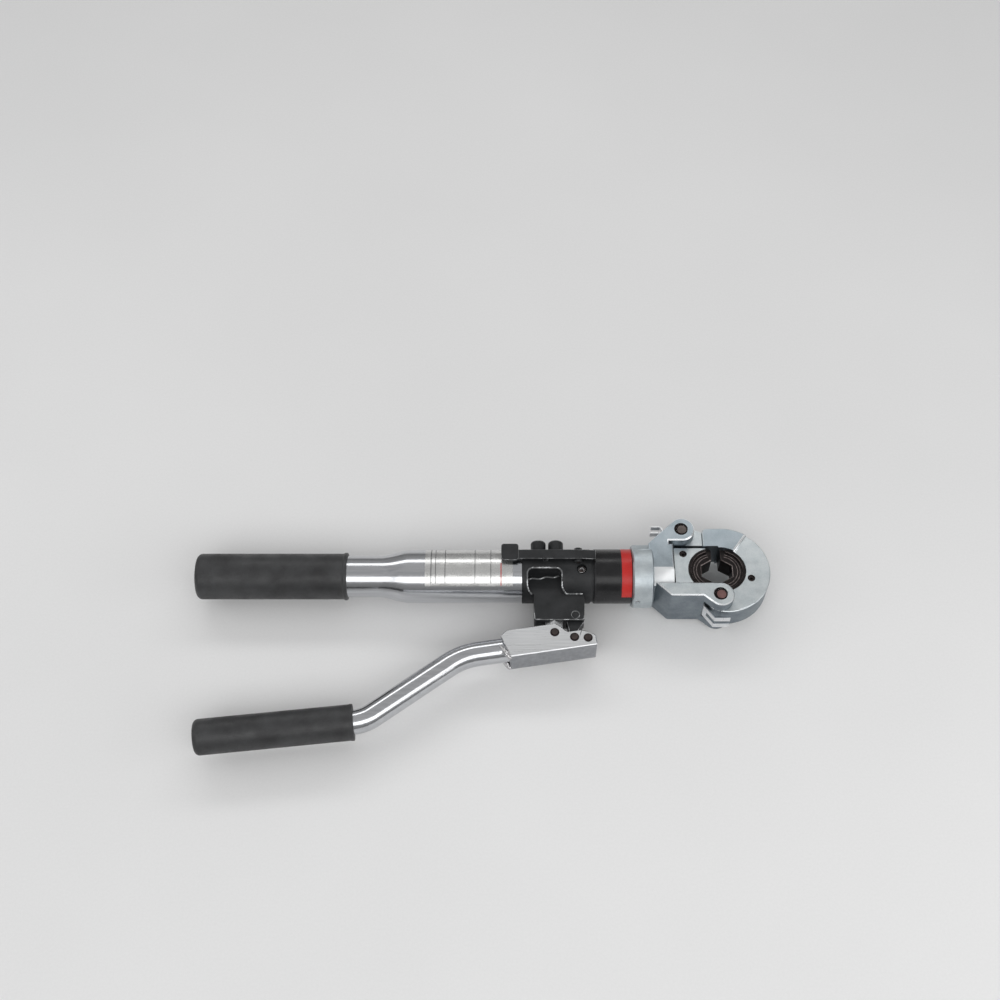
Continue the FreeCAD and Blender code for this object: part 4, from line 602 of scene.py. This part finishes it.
def gripProfile(length, radius, lipRadius, bore):
    # closed rear end at 0, lip at the open front end
    look = gripLook
    rounding, lipRound = look["rearRound"], look["lipRound"]
    points = [(0, 0)]
    points += arcPoints((rounding, radius - rounding), rounding, 180, 90, look["rearSteps"])
    lipStart = length - look["lipWidth"]
    points += easedPoints((lipStart - look["lipEase"], radius), (lipStart, lipRadius),
                          look["easeSteps"])
    points += arcPoints((length - lipRound, lipRadius - lipRound), lipRound, 90, 0,
                        look["lipSteps"])
    points += [(length, bore), (look["endWall"], bore), (look["endWall"], 0)]
    return points


tubeLook = {"narrow": 21.75, "wide": 27.8, "wall": 2.5, "swageStart": 190.0, "swageEnd": 223.0,
            "swageSteps": 18, "boreEarly": 1.0, "boreLate": 4.0, "rear": 4.1, "front": 341.0,
            "rim": 0.5}


def makeFixedHandle():
    profile = gripProfile(sideOf("fixed_grip", 0, 1), gripLook["fixedRadius"],
                          gripLook["fixedLip"], tubeLook["narrow"] + gripLook["clearance"])
    grip = turnedPiece("fixedGripRubber", profile)
    dressPiece(grip, "gripRubber", "tool_body", "grip_rubber", "fixed_grip")

    look = tubeLook
    rear, front, narrow, wide = look["rear"], look["front"], look["narrow"], look["wide"]
    narrowBore, wideBore = narrow - look["wall"], wide - look["wall"]
    points = [(rear, narrowBore), (rear, narrow)]
    points += easedPoints((look["swageStart"], narrow), (look["swageEnd"], wide),
                          look["swageSteps"])
    points += [(front - look["rim"], wide), (front, wide - look["rim"]), (front, wideBore),
               (look["swageEnd"] + look["boreLate"], wideBore),
               (look["swageStart"] - look["boreEarly"], narrowBore), (rear, narrowBore)]
    tube = turnedPiece("reservoirTubeShell", points)
    dressPiece(tube, "polishedTube", "tool_body", "polished_tube", "reservoir_tube")


makeFixedHandle()
print("fixed handle ready")


# Bent lever tube with its grip

leverLook = {"inset": 44.0, "offset": 3.6, "shank": 71.8, "drop": 119.5, "tail": 163.75,
             "firstBend": 70.0, "secondBend": 40.0, "radius": 12.5, "wall": 2.0, "sides": 72,
             "bendSteps": 18, "gripFront": 9.85, "gripLength": 158.0, "gripRadius": 18.0,
             "gripLip": 18.3}


def makeLever():
    look = leverLook
    shank, drop, tail = towardTail["shank"], towardTail["drop"], towardTail["tail"]
    firstTurn = math.radians(runSlopes["drop"] - runSlopes["shank"])
    secondTurn = math.radians(runSlopes["tail"] - runSlopes["drop"])
    start = leverPivot + shank * look["inset"] * mm + bracketAcross * look["offset"] * mm
    cutFirst = look["firstBend"] * math.tan(firstTurn / 2)
    cutSecond = look["secondBend"] * math.tan(-secondTurn / 2)
    bendStart = start + shank * (look["shank"] - cutFirst) * mm
    corner = start + shank * look["shank"] * mm + drop * look["drop"] * mm
    secondStart = corner - drop * cutSecond * mm
    leftOf = Vector((0, 0, 1))

    deselectAll()
    bpy.ops.mesh.primitive_circle_add(vertices=look["sides"], radius=look["radius"] * mm,
                                      location=start, rotation=(0, math.pi / 2, bracketSlope))
    tube = bpy.context.object
    tube.name = "leverTubeShell"
    settle(tube)
    editWhole(tube)
    bpy.ops.mesh.extrude_region_move(TRANSFORM_OT_translate={"value": bendStart - start})
    bpy.ops.mesh.spin(steps=look["bendSteps"], angle=-firstTurn, axis=(0, 0, 1),
                      center=bendStart + leftOf.cross(shank) * look["firstBend"] * mm)
    ringPlace = bendStart + (shank + drop) * cutFirst * mm
    bpy.ops.mesh.extrude_region_move(TRANSFORM_OT_translate={"value": secondStart - ringPlace})
    bpy.ops.mesh.spin(steps=look["bendSteps"], angle=-secondTurn, axis=(0, 0, 1),
                      center=secondStart - leftOf.cross(drop) * look["secondBend"] * mm)
    bpy.ops.mesh.extrude_region_move(TRANSFORM_OT_translate={
        "value": tail * (look["tail"] - cutSecond) * mm})
    bpy.ops.object.mode_set(mode="OBJECT")
    facesOutward(tube)
    wall = tube.modifiers.new("wall", "SOLIDIFY")
    wall.thickness = look["wall"] * mm
    wall.offset = -1
    applyModifiers(tube)
    dressPiece(tube, "polishedTube", "lever", "polished_tube", "lever_tube")

    gripStart = corner + tail * (look["gripFront"] + look["gripLength"]) * mm
    profile = gripProfile(look["gripLength"], look["gripRadius"], look["gripLip"],
                          look["radius"] + gripLook["clearance"])
    grip = turnedPiece("leverGripRubber", profile, gripStart, -tail)
    dressPiece(grip, "gripRubber", "lever", "grip_rubber", "lever_grip")


makeLever()
print("lever ready")


# Machined, cast and folded pieces: the CAD's shape with its edges broken

# how far a wall's and a flat face's normal may lean, and the least turn of an edge in radians
foldLook = {"wall": 0.3, "flat": 0.85, "leastTurn": 0.6}


def upright(normals):
    # a flat top or bottom meets an upright wall
    steepness = sorted(abs(normal.z) for normal in normals)
    return steepness[0] < foldLook["wall"] and steepness[1] > foldLook["flat"]


def near(point, centre, reach):
    return math.hypot(point.x - centre[0], point.y - centre[1]) < reach


def chamferEdges(piece, width, steps, slotIndex, rule):
    makeActive(piece)
    bpy.ops.object.mode_set(mode="EDIT")
    bpy.ops.mesh.select_mode(type="EDGE")
    bpy.ops.mesh.select_all(action="DESELECT")
    mesh = bmesh.from_edit_mesh(piece.data)
    for edge in mesh.edges:
        if (len(edge.link_faces) == 2 and edge.is_convex
                and edge.calc_face_angle() > foldLook["leastTurn"]):
            ends = [vertex.co / mm for vertex in edge.verts]
            if rule(ends, [face.normal for face in edge.link_faces]):
                edge.select_set(True)
    bmesh.update_edit_mesh(piece.data)
    bpy.ops.mesh.bevel(offset=width * mm, segments=steps, clamp_overlap=False, material=slotIndex)
    bpy.ops.object.mode_set(mode="OBJECT")


def paintFaces(piece, finish, rule):
    piece.data.materials.append(finishes[finish])
    slotIndex = len(piece.data.materials) - 1
    for face in piece.data.polygons:
        if face.material_index == 0 and rule(face.center / mm, face.normal):
            face.material_index = slotIndex


def cutSlot(piece, low, high):
    deselectAll()
    middle = (Vector(low) + Vector(high)) / 2 * mm
    bpy.ops.mesh.primitive_cube_add(size=mm, location=middle, scale=Vector(high) - Vector(low))
    cutter = bpy.context.object
    cut = piece.modifiers.new("slot", "BOOLEAN")
    cut.operation = "DIFFERENCE"
    cut.solver = "EXACT"
    cut.object = cutter
    applyModifiers(piece)
    makeActive(cutter)
    bpy.ops.object.delete()
    makeActive(piece)


def placeOf(node):
    middle = centreOf(node) / mm
    return middle.x, middle.y


# lines and heights on the head, in mm and degrees, that part its chamfers and finishes
headLook = {"collarEnd": 477.6, "armStart": 478.0, "armLevel": 27.0, "recessShift": 1.0,
            "recessReach": 8.0, "recessFloor": 20.0, "recessTop": 28.3, "clearOfPins": 8.6,
            "rampLevel": 17.4, "rampStart": 50.0, "rampEnd": 60.0, "rampMiddle": 54.0,
            "dieHoleReach": 3.4, "padReach": 27.0, "notchEnd": 552.0, "notchLow": 20.0,
            "notchHigh": 30.0, "holderRear": 499.5, "holderSide": 26.0, "paintedShadeSide": 24.0,
            "pinLevel": 27.0, "leanSide": -0.3, "leanUp": 0.75, "flank": 0.6}
hingePlace, latchPlace = placeOf("hinge_pin"), placeOf("latch_pin")
hingeRecess = (hingePlace[0] - headLook["recessShift"], hingePlace[1])
latchRecess = (latchPlace[0] - headLook["recessShift"], latchPlace[1])
jawPinPlace, holderPinPlace = placeOf("jaw_die_pin"), placeOf("holder_die_pin")
dieAxis = sideOf("fixed_die", 0, 0), 0.0


def padAngle(point):
    return math.degrees(math.atan2(point.y - dieAxis[1], point.x - dieAxis[0]))


def flatEdge(ends, normals):
    return upright(normals)


def clearEdge(ends, normals, holes):
    return upright(normals) and not any(
        near(end, hole, headLook["clearOfPins"]) for end in ends for hole in holes)


def forkEdge(ends, normals):
    return (min(end.x for end in ends) > headLook["armStart"]
            and min(abs(end.z) for end in ends) > headLook["armLevel"]
            and clearEdge(ends, normals, (hingeRecess, latchRecess)))


def rampEdge(ends, normals):
    look = headLook
    return upright(normals) and all(
        end.z > look["rampLevel"] and look["rampStart"] < padAngle(end) < look["rampEnd"]
        for end in ends)


def holeEdge(place):
    return lambda ends, normals: upright(normals) and all(
        near(end, place, headLook["dieHoleReach"]) for end in ends)


def jawEdge(ends, normals):
    look = headLook
    return clearEdge(ends, normals, (jawPinPlace, hingePlace, latchPlace)) and not all(
        near(end, dieAxis, look["padReach"])
        or (end.x < look["notchEnd"] and look["notchLow"] < end.y < look["notchHigh"])
        for end in ends)


def holderRearEdge(ends, normals):
    return upright(normals) and all(end.x < headLook["holderRear"] for end in ends)


def holderSideEdge(ends, normals):
    return upright(normals) and all(end.y > headLook["holderSide"] for end in ends)


def pinTopEdge(ends, normals):
    return all(end.z > headLook["pinLevel"] for end in ends)


bracketEdgeLook = {"level": 14.0, "holeReach": 7.0}
bracketPins = [placeOf(node) for node in ("plunger_pin", "lever_pivot_pin", "lever_stop_pin")]


# top edges of the bracket that take a painted highlight
def bracketEdge(ends, normals):
    look = bracketEdgeLook
    return (min(end.z for end in ends) > look["level"] and upright(normals) and not any(
        near(end, pin, look["holeReach"]) for end in ends for pin in bracketPins))


pocketLipLook = {"side": -29.0, "low": 9.0, "high": 12.0}


def pocketLipEdge(ends, normals):
    look = pocketLipLook
    return upright(normals) and all(
        end.y < look["side"] and look["low"] < abs(end.z) < look["high"] for end in ends)


# wide flat chamfers: width, steps, slot (1 the edge finish, 2 the near-black rim of painted
# shadow), which edges
chamferLook = {
    "head_fork": [(1.3, 1, 1, forkEdge)],
    "c_jaw": [(2.4, 1, 1, rampEdge), (1.3, 1, 2, holeEdge(jawPinPlace)), (1.1, 1, 1, jawEdge)],
    "die_holder": [(1.3, 1, 2, holeEdge(holderPinPlace)), (1.9, 1, 2, holderRearEdge),
                   (1.0, 1, 1, holderSideEdge)],
    "hinge_pin": [(1.2, 2, 1, pinTopEdge)],
    "latch_pin": [(1.2, 2, 1, pinTopEdge)],
    "plunger_pin": [(1.3, 2, 1, flatEdge)],
    "lever_pivot_pin": [(1.3, 2, 1, flatEdge)],
    "lever_stop_pin": [(1.3, 2, 1, flatEdge)],
    "lever_bracket": [(0.7, 1, 1, bracketEdge)],
    "fixed_die": [(0.6, 1, 1, flatEdge)],
    "moving_die": [(0.6, 1, 1, flatEdge)],
    "pump_body": [(0.9, 2, 1, pocketLipEdge)],
}


# recess walls and floors by the pins, which take the near-black painted shadow
def onRecess(place, normal):
    look = headLook
    return look["recessFloor"] < place.z < look["recessTop"] and (
        near(place, hingeRecess, look["recessReach"])
        or near(place, latchRecess, look["recessReach"]))


def onCollar(place, normal):
    return place.x < headLook["collarEnd"]


# the neck's facet that leans to the front, which takes a painted highlight
def onLean(place, normal):
    return normal.y < headLook["leanSide"] and normal.z > headLook["leanUp"]


# upright faces, which take a darker copy of their metal as painted shade
def onFlank(place, normal):
    return abs(normal.z) < headLook["flank"]


# faces of the back arm that take the zinc's painted shade
def onBackArm(place, normal):
    return place.y > headLook["paintedShadeSide"]


# faces of the jaw's ramp pad that take the zinc's painted shade
def onJawRamp(place, normal):
    return place.z > headLook["rampLevel"] and padAngle(place) > headLook["rampMiddle"]


# other finishes, by place and direction of the face: painted shadow in the pin recesses, a rougher
# collar, a painted highlight on the leaning facet, and painted shade on the flanks, the back arm
# and the jaw's ramp pad
paintLook = {
    "head_fork": [("pinRim", onRecess), ("zincCollar", onCollar), ("zincBright", onLean),
                  ("zincFlank", onFlank), ("zincShade", onBackArm)],
    "c_jaw": [("zincFlank", onFlank), ("zincShade", onJawRamp)],
    "die_holder": [("zincFlank", onFlank)],
    "lever_bracket": [("bracketFlank", onFlank)],
}
# slots that fork the leaf springs, as lowest and highest corner
slotLook = {
    "hinge_leaf_spring": ((531.5, -60.0, -3.0), (560.0, -38.0, 3.5)),
    "latch_leaf_spring": ((470.0, 45.0, -3.0), (492.5, 60.0, 3.5)),
}
bevelLook = {"mergeReach": 1e-5, "flatAngle": 0.8, "angle": 30, "angleBesideChamfers": 50}


def mergedCopy(node):
    makeActive(frame["nodes"][node])
    bpy.ops.object.duplicate()
    piece = bpy.context.object
    piece.name = node + "Finished"
    # the copy is a piece of its own, not a CAD node
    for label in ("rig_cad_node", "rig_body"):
        del piece[label]
    piece.parent = None
    editWhole(piece)
    bpy.ops.mesh.remove_doubles(threshold=bevelLook["mergeReach"])
    bpy.ops.object.mode_set(mode="OBJECT")
    return piece


def roundedCopy(node, width, steps, main, edge):
    look = bevelLook
    piece = mergedCopy(node)
    editWhole(piece)
    bpy.ops.mesh.dissolve_limited(angle_limit=math.radians(look["flatAngle"]))
    bpy.ops.object.mode_set(mode="OBJECT")
    # the third slot is a near-black rim that paints shadow into gaps, holes and recesses
    setMaterials(piece, finishes[main], finishes[edge or main], finishes["pinRim"])
    if node in slotLook:
        cutSlot(piece, *slotLook[node])
    chamfers = chamferLook.get(node, [])
    for chamfer in chamfers:
        chamferEdges(piece, *chamfer)
    bevel = piece.modifiers.new("brokenEdges", "BEVEL")
    bevel.width = width * mm
    bevel.segments = steps
    bevel.limit_method = "ANGLE"
    bevel.angle_limit = math.radians(look["angleBesideChamfers"] if chamfers else look["angle"])
    bevel.material = 1 if edge else -1
    applyModifiers(piece)
    for finish, rule in paintLook.get(node, []):
        paintFaces(piece, finish, rule)
    smoothShade(piece)
    weightedNormals(piece)
    return piece


# width and steps of the rounded edges, finish, and finish of the edges where it differs; on the
# head, bracket, dies and pocket screw the edge finish is a painted highlight, on the pins a painted
# shadow rim, and on the casting a painted highlight with worn paint
copyLook = {
    "pump_body": (0.8, 3, "blackCasting", "castingWornEdgeAndHighlight"),
    "gland_nut": (0.4, 2, "brightScrew", None),
    "suction_valve_cap": (0.4, 2, "blackCasting", "castingWornEdgeAndHighlight"),
    "delivery_valve_cap": (0.4, 2, "blackCasting", "castingWornEdgeAndHighlight"),
    # the screw head's bright edges are a painted glint on the dark oxide
    "pocket_screw": (0.25, 2, "pinOxide", "brightScrew"),
    "release_lever": (0.4, 2, "blackCasting", "castingWornEdgeAndHighlight"),
    "release_pivot_pin": (0.2, 2, "pinOxide", None),
    "release_stem": (0.2, 2, "groundSteel", None),
    "pump_link": (0.6, 2, "blackCasting", "castingWornEdgeAndHighlight"),
    "pump_plunger": (0.4, 2, "groundSteel", None),
    "lever_bracket": (0.5, 3, "bracketSheet", "bracketEdge"),
    "plunger_pin": (0.6, 2, "pinOxide", "pinRim"),
    "lever_pivot_pin": (0.6, 2, "pinOxide", "pinRim"),
    "lever_stop_pin": (0.6, 2, "pinOxide", "pinRim"),
    "link_foot_pin": (0.2, 2, "blackCasting", None),
    "cylinder_barrel": (0.5, 3, "barrelPaint", None),
    "head_fork": (0.9, 3, "zincForging", "zincEdge"),
    "head_set_screw": (0.2, 2, "brightScrew", None),
    "c_jaw": (0.9, 3, "zincForging", "zincEdge"),
    "die_holder": (0.6, 3, "zincForging", "zincEdge"),
    "moving_die": (0.35, 2, "dieOxide", "dieEdge"),
    "fixed_die": (0.35, 2, "dieOxide", "dieEdge"),
    "hinge_pin": (0.5, 2, "pinBrown", "pinRim"),
    "latch_pin": (0.5, 2, "pinGrey", "pinRim"),
    "jaw_die_pin": (0.15, 2, "pinOxide", None),
    "holder_die_pin": (0.15, 2, "pinOxide", None),
    "hinge_leaf_spring": (0.3, 2, "springSteel", None),
    "latch_leaf_spring": (0.3, 2, "springSteel", None),
}
nutTurn = 30
for node, (width, steps, main, edge) in copyLook.items():
    piece = roundedCopy(node, width, steps, main, edge)
    if node == "gland_nut":
        # a corner of its hexagon points up
        makeActive(piece)
        bpy.ops.transform.rotate(value=math.radians(nutTurn), orient_axis="Y",
                                 center_override=centreOf(node))
        settle(piece)
    settlePiece(piece, bodyOfNode[node], nodeSlot[node], node)
print("finished copies ready:", len(copyLook))


# Coil springs, as finished copies of the CAD's: joint, axis number, fixed end, travel in mm

springLook = {"return_spring": ("ram_slide", 0, 1, 9.4),
              "release_spring": ("release_stem_slide", 2, 0, 1.3)}
for node, (joint, axis, fixedEnd, travel) in springLook.items():
    piece = mergedCopy(node)
    dressPiece(piece, "springSteel", bodyOfNode[node], nodeSlot[node], node)
    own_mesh(piece)
print("springs ready")


# Weld beads and cast ridges: chained drops melted into one skin

beadLook = {"segments": 20, "rings": 12, "softness": 0.6, "smoothAngle": 70}
# drops of weld by the bracket's own directions, in mm: along, across, up, radius
weldLook = {
    "drops": [(-68.2, -10.8, 12.4, 2.3), (-69.3, -8.8, 12.8, 2.7), (-70.5, -6.6, 13.0, 2.9),
              (-71.8, -4.4, 13.1, 2.7), (-73.1, -2.2, 13.2, 2.3), (-74.4, 0.2, 13.3, 1.9),
              (-75.7, 2.6, 13.3, 1.5), (-69.8, -7.2, 10.0, 2.4), (-71.2, -4.8, 10.9, 2.4),
              (-72.6, -2.4, 11.6, 2.2)],
    "spatter": [(-75.2, -4.4, 10.1, 1.1), (-78.6, -2.6, 11.1, 0.8)],
    "voxel": 0.4, "flow": 5,
}
ridgeLook = {"startX": 347.5, "endX": 381.0, "startY": -9.4, "endY": -5.6, "wave": 0.7,
             "waveLength": 15.0, "height": 11.3, "radius": 1.0, "drops": 44, "voxel": 0.4,
             "flow": 4}
# the border runs round the pocket on the shell, then forward along its lip; the points of
# rearFoot and frontFoot are a step from rear or front, and y
pocketLook = {"rear": 346.0, "front": 382.0, "inner": -4.5, "round": 6.0, "cornerSteps": 8,
              "rearFoot": ((4.5, -26.2), (1.4, -24.0), (0, -20)),
              "frontFoot": ((0, -21.5), (1.6, -23.8), (4.5, -26.2)),
              "lipEnd": 404.0, "lipZ": 11.2, "shell": 28.3, "radius": 0.95, "spacing": 0.9,
              "swell": 0.14, "swellPace": 1.7, "voxel": 0.4, "flow": 3}


def meltedBead(name, drops, look, finish, body, slotName):
    blobs = []
    for place, radius in drops:
        deselectAll()
        bpy.ops.mesh.primitive_uv_sphere_add(segments=beadLook["segments"],
                                             ring_count=beadLook["rings"], radius=radius * mm,
                                             location=place)
        blobs.append(bpy.context.object)
    makeActive(blobs[0])
    for blob in blobs:
        blob.select_set(True)
    bpy.ops.object.join()
    piece = bpy.context.object
    piece.name = name
    settle(piece)
    skin = piece.modifiers.new("oneSkin", "REMESH")
    skin.mode = "VOXEL"
    skin.voxel_size = look["voxel"] * mm
    softened = piece.modifiers.new("flow", "SMOOTH")
    softened.factor = beadLook["softness"]
    softened.iterations = look["flow"]
    applyModifiers(piece)
    smoothShade(piece, beadLook["smoothAngle"])
    setMaterials(piece, finishes[finish])
    settlePiece(piece, body, slotName)


def bracketPlace(x, y, z):
    flat = leverPivot - towardTail["shank"] * x * mm + bracketAcross * y * mm
    return flat + Vector((0, 0, z * mm))


def chainedDrops(corners, look):
    drops = []
    for a, b in zip(corners, corners[1:]):
        count = max(1, round((b - a).length / look["spacing"]))
        for i in range(count):
            swell = 1 + look["swell"] * math.sin(look["swellPace"] * len(drops))
            drops.append((a.lerp(b, i / count) * mm, look["radius"] * swell))
    return drops


def makeBeads():
    look = weldLook
    for name, side in (("upperWeld", 1), ("lowerWeld", -1)):
        rows = look["drops"] + (look["spatter"] if side > 0 else [])
        drops = [(bracketPlace(x, y, z * side), radius) for x, y, z, radius in rows]
        meltedBead(name, drops, look, "weldMetal", "lever", "bracket_steel")

    look = ridgeLook
    drops = []
    for i in range(look["drops"]):
        t = i / (look["drops"] - 1)
        x = look["startX"] + (look["endX"] - look["startX"]) * t
        y = look["startY"] + (look["endY"] - look["startY"]) * t
        y += look["wave"] * math.sin(math.tau * (x - look["startX"]) / look["waveLength"])
        drops.append((Vector((x, y, look["height"])) * mm, look["radius"]))
    # the ridge takes the casting's edge finish: a painted highlight with worn paint
    meltedBead("pocketRidge", drops, look, "castingWornEdgeAndHighlight", "tool_body", "black_casting")

    look = pocketLook
    rear, front, inner, bend = look["rear"], look["front"], look["inner"], look["round"]
    corners = [(rear + step, y) for step, y in look["rearFoot"]]
    corners += arcPoints((rear + bend, inner - bend), bend, 180, 90, look["cornerSteps"])
    corners += arcPoints((front - bend, inner - bend), bend, 90, 0, look["cornerSteps"])
    corners += [(front + step, y) for step, y in look["frontFoot"]]
    onShell = [Vector((x, y, math.sqrt(look["shell"] ** 2 - y * y))) for x, y in corners]
    lipX, lipY = corners[-1]
    lip = [Vector((lipX, lipY, look["lipZ"])), Vector((look["lipEnd"], lipY, look["lipZ"]))]
    drops = chainedDrops(onShell, look) + chainedDrops(lip, look)
    # the border takes the casting's edge finish: a painted highlight with worn paint
    meltedBead("pocketBorder", drops, look, "castingWornEdgeAndHighlight", "tool_body", "black_casting")


makeBeads()
print("welds and ridges ready")


# Turned rings in the dish of each die half

# radius, half width and height of each ring
ringLook = {"rings": ((16.6, 0.5, 0.7), (19.4, 0.35, 0.5)), "crest": 0.6, "floor": 12.25,
            "reach": 78.0, "steps": 40}


def makeDieRings():
    look = ringLook
    plan = (("movingDieRing", "moving_die", sideOf("moving_die", 0, 1), 180.0),
            ("fixedDieRing", "fixed_die", sideOf("fixed_die", 0, 0), 0.0))
    for name, node, axisX, facing in plan:
        middle = Vector((axisX * mm, 0, 0))
        start = math.radians(facing + look["reach"])
        outward = Vector((math.cos(start), math.sin(start), 0))
        for i, (radius, half, height) in enumerate(look["rings"]):
            low, high, crest = look["floor"], look["floor"] + height, half * look["crest"]
            points = [(low, radius - half), (high, radius - crest), (high, radius + crest),
                      (low, radius + half), (low, radius - half)]
            ring = drawProfile("%s%d" % (name, i + 1), points, middle, Vector((0, 0, 1)), outward)
            bpy.ops.mesh.select_all(action="SELECT")
            bpy.ops.mesh.remove_doubles(threshold=helperLook["mergeReach"])
            bpy.ops.mesh.spin(steps=look["steps"], angle=math.radians(2 * look["reach"]),
                              center=middle, axis=(0, 0, 1))
            bpy.ops.mesh.select_all(action="SELECT")
            bpy.ops.mesh.fill_holes(sides=0)
            bpy.ops.object.mode_set(mode="OBJECT")
            facesOutward(ring)
            # the rings take the dies' lighter oxide as a painted highlight
            dressPiece(ring, "dieEdge", bodyOfNode[node], "die_steel")


makeDieRings()
print("die rings ready")


# Plates, labels and bands that lie on the tube and the barrel

# spread and middle are angles round the axis in degrees; each rule is start, width, spread, middle
foilLook = {"start": 240.0, "end": 331.0, "spread": 124.0, "middle": -13.0, "lift": 0.1,
            "sheet": 0.08, "ruleLift": 2.4,
            "rules": [(246.0, 0.7, 114.0, -14.0), (250.8, 0.5, 114.0, -14.0),
                      (260.6, 0.6, 114.0, -14.0), (291.6, 0.6, 114.0, -14.0),
                      (308.0, 0.6, 114.0, -14.0)],
            "redRule": (318.4, 0.9, 50.0, 23.0)}
bandLook = {"start": 444.0, "end": 454.6, "spread": 170.0, "middle": -8.0, "lift": 0.1,
            "sheet": 0.1}
labelLook = {"start": 417.5, "end": 442.5, "spread": 160.0, "middle": -10.0, "lift": 0.08,
             "sheet": 0.08}


def makeWraps():
    tubeOut = tubeLook["wide"]
    barrelOut = sideOf("cylinder_barrel", 2, 1)
    plan = (("foilPlate", foilLook, tubeOut, "foilSilver", "polished_tube"),
            ("redBandStrip", bandLook, barrelOut, "redBand", "black_casting"),
            ("barrelLabelPlate", labelLook, barrelOut, "labelBlack", "black_casting"))
    for name, look, base, finish, slotName in plan:
        radius = base + look["lift"]
        wrap = sleeveOn(name, [(look["start"], radius), (look["end"], radius)], look["spread"],
                        look["middle"], look["sheet"])
        dressPiece(wrap, finish, "tool_body", slotName)

    # thin plain rules across the foil plate
    radius = tubeOut + foilLook["lift"] * foilLook["ruleLift"]
    rules = [("foilRule%d" % (i + 1), rule, "foilPrint") for i, rule in
             enumerate(foilLook["rules"])]
    rules.append(("foilRedRule", foilLook["redRule"], "redBand"))
    for name, (start, width, spread, middle), finish in rules:
        rule = sleeveOn(name, [(start, radius), (start + width, radius)], spread, middle,
                        foilLook["sheet"])
        dressPiece(rule, finish, "tool_body", "polished_tube")


makeWraps()
print("plates and bands ready")


# Floor, lamps and camera

stageLook = {"middle": Vector((0.3, 0, 0)), "floorSize": 4.0, "floorColor": (0.80, 0.80, 0.80),
             "floorPatch": (0.84, 0.84, 0.84), "floorRoughness": 0.75, "horizon": 0.2,
             "zenith": 0.48, "zenithFrom": 0.9}


def makeFloor():
    look = stageLook
    floorLevel = min(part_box(node)[0][2] for node in frame["nodes"])
    deselectAll()
    bpy.ops.mesh.primitive_plane_add(size=look["floorSize"],
                                     location=look["middle"] + Vector((0, 0, floorLevel)))
    floor = bpy.context.object
    floor.name = "floor"
    material, tree, shader, place = startMaterial("paleFloor", look["floorRoughness"])
    patches = useGroup(tree, mottle, place, Patch_Scale=2.0, Grain_Scale=400.0)
    colorBase(tree, shader, patches, look["floorColor"], look["floorPatch"])
    floor.data.materials.append(material)


# soft boxes round the tool: lean to the front, turn to the side, distance, width, depth, power
lampLook = {
    "frontBox": (43, 0, 1.7, 2.6, 0.8, 12.4), "backBox": (-43, 0, 1.6, 2.6, 0.3, 6.0),
    "rightBox": (20, 64, 1.5, 0.6, 1.2, 3.6), "leftBox": (0, -60, 1.5, 0.5, 0.9, 2.0),
}


def makeLamps():
    for name, (lean, side, distance, width, depth, power) in lampLook.items():
        turn = (math.radians(lean), math.radians(side), 0)
        away = Euler(turn).to_matrix() @ Vector((0, 0, distance))
        deselectAll()
        bpy.ops.object.light_add(type="AREA", location=stageLook["middle"] + away, rotation=turn)
        lamp = bpy.context.object
        lamp.name = name
        lamp.data.shape = "RECTANGLE"
        lamp.data.size = width
        lamp.data.size_y = depth
        lamp.data.energy = power


def makeWorld():
    world = bpy.data.worlds.new("studio")
    bpy.context.scene.world = world
    world.use_nodes = True
    tree = world.node_tree
    direction = tree.nodes.new("ShaderNodeTexCoord").outputs["Generated"]
    parts = tree.nodes.new("ShaderNodeSeparateXYZ")
    tree.links.new(direction, parts.inputs["Vector"])
    tone = addRange(tree, parts.outputs["Z"], 0.0, stageLook["zenithFrom"], stageLook["horizon"],
                    stageLook["zenith"])
    tree.links.new(tone, tree.nodes["Background"].inputs["Color"])


cameraLook = {"place": (0.3178, -0.710, 1.338), "tilt": 31.0, "lens": 51.73, "sensor": 36.0}


def makeCamera():
    deselectAll()
    bpy.ops.object.camera_add(location=cameraLook["place"],
                              rotation=(math.radians(cameraLook["tilt"]), 0, 0))
    camera = bpy.context.object
    camera.data.lens = cameraLook["lens"]
    camera.data.sensor_width = cameraLook["sensor"]
    bpy.context.scene.camera = camera


makeFloor()
makeLamps()
makeWorld()
makeCamera()
bpy.context.scene.view_settings.view_transform = "Standard"
print("stage ready")
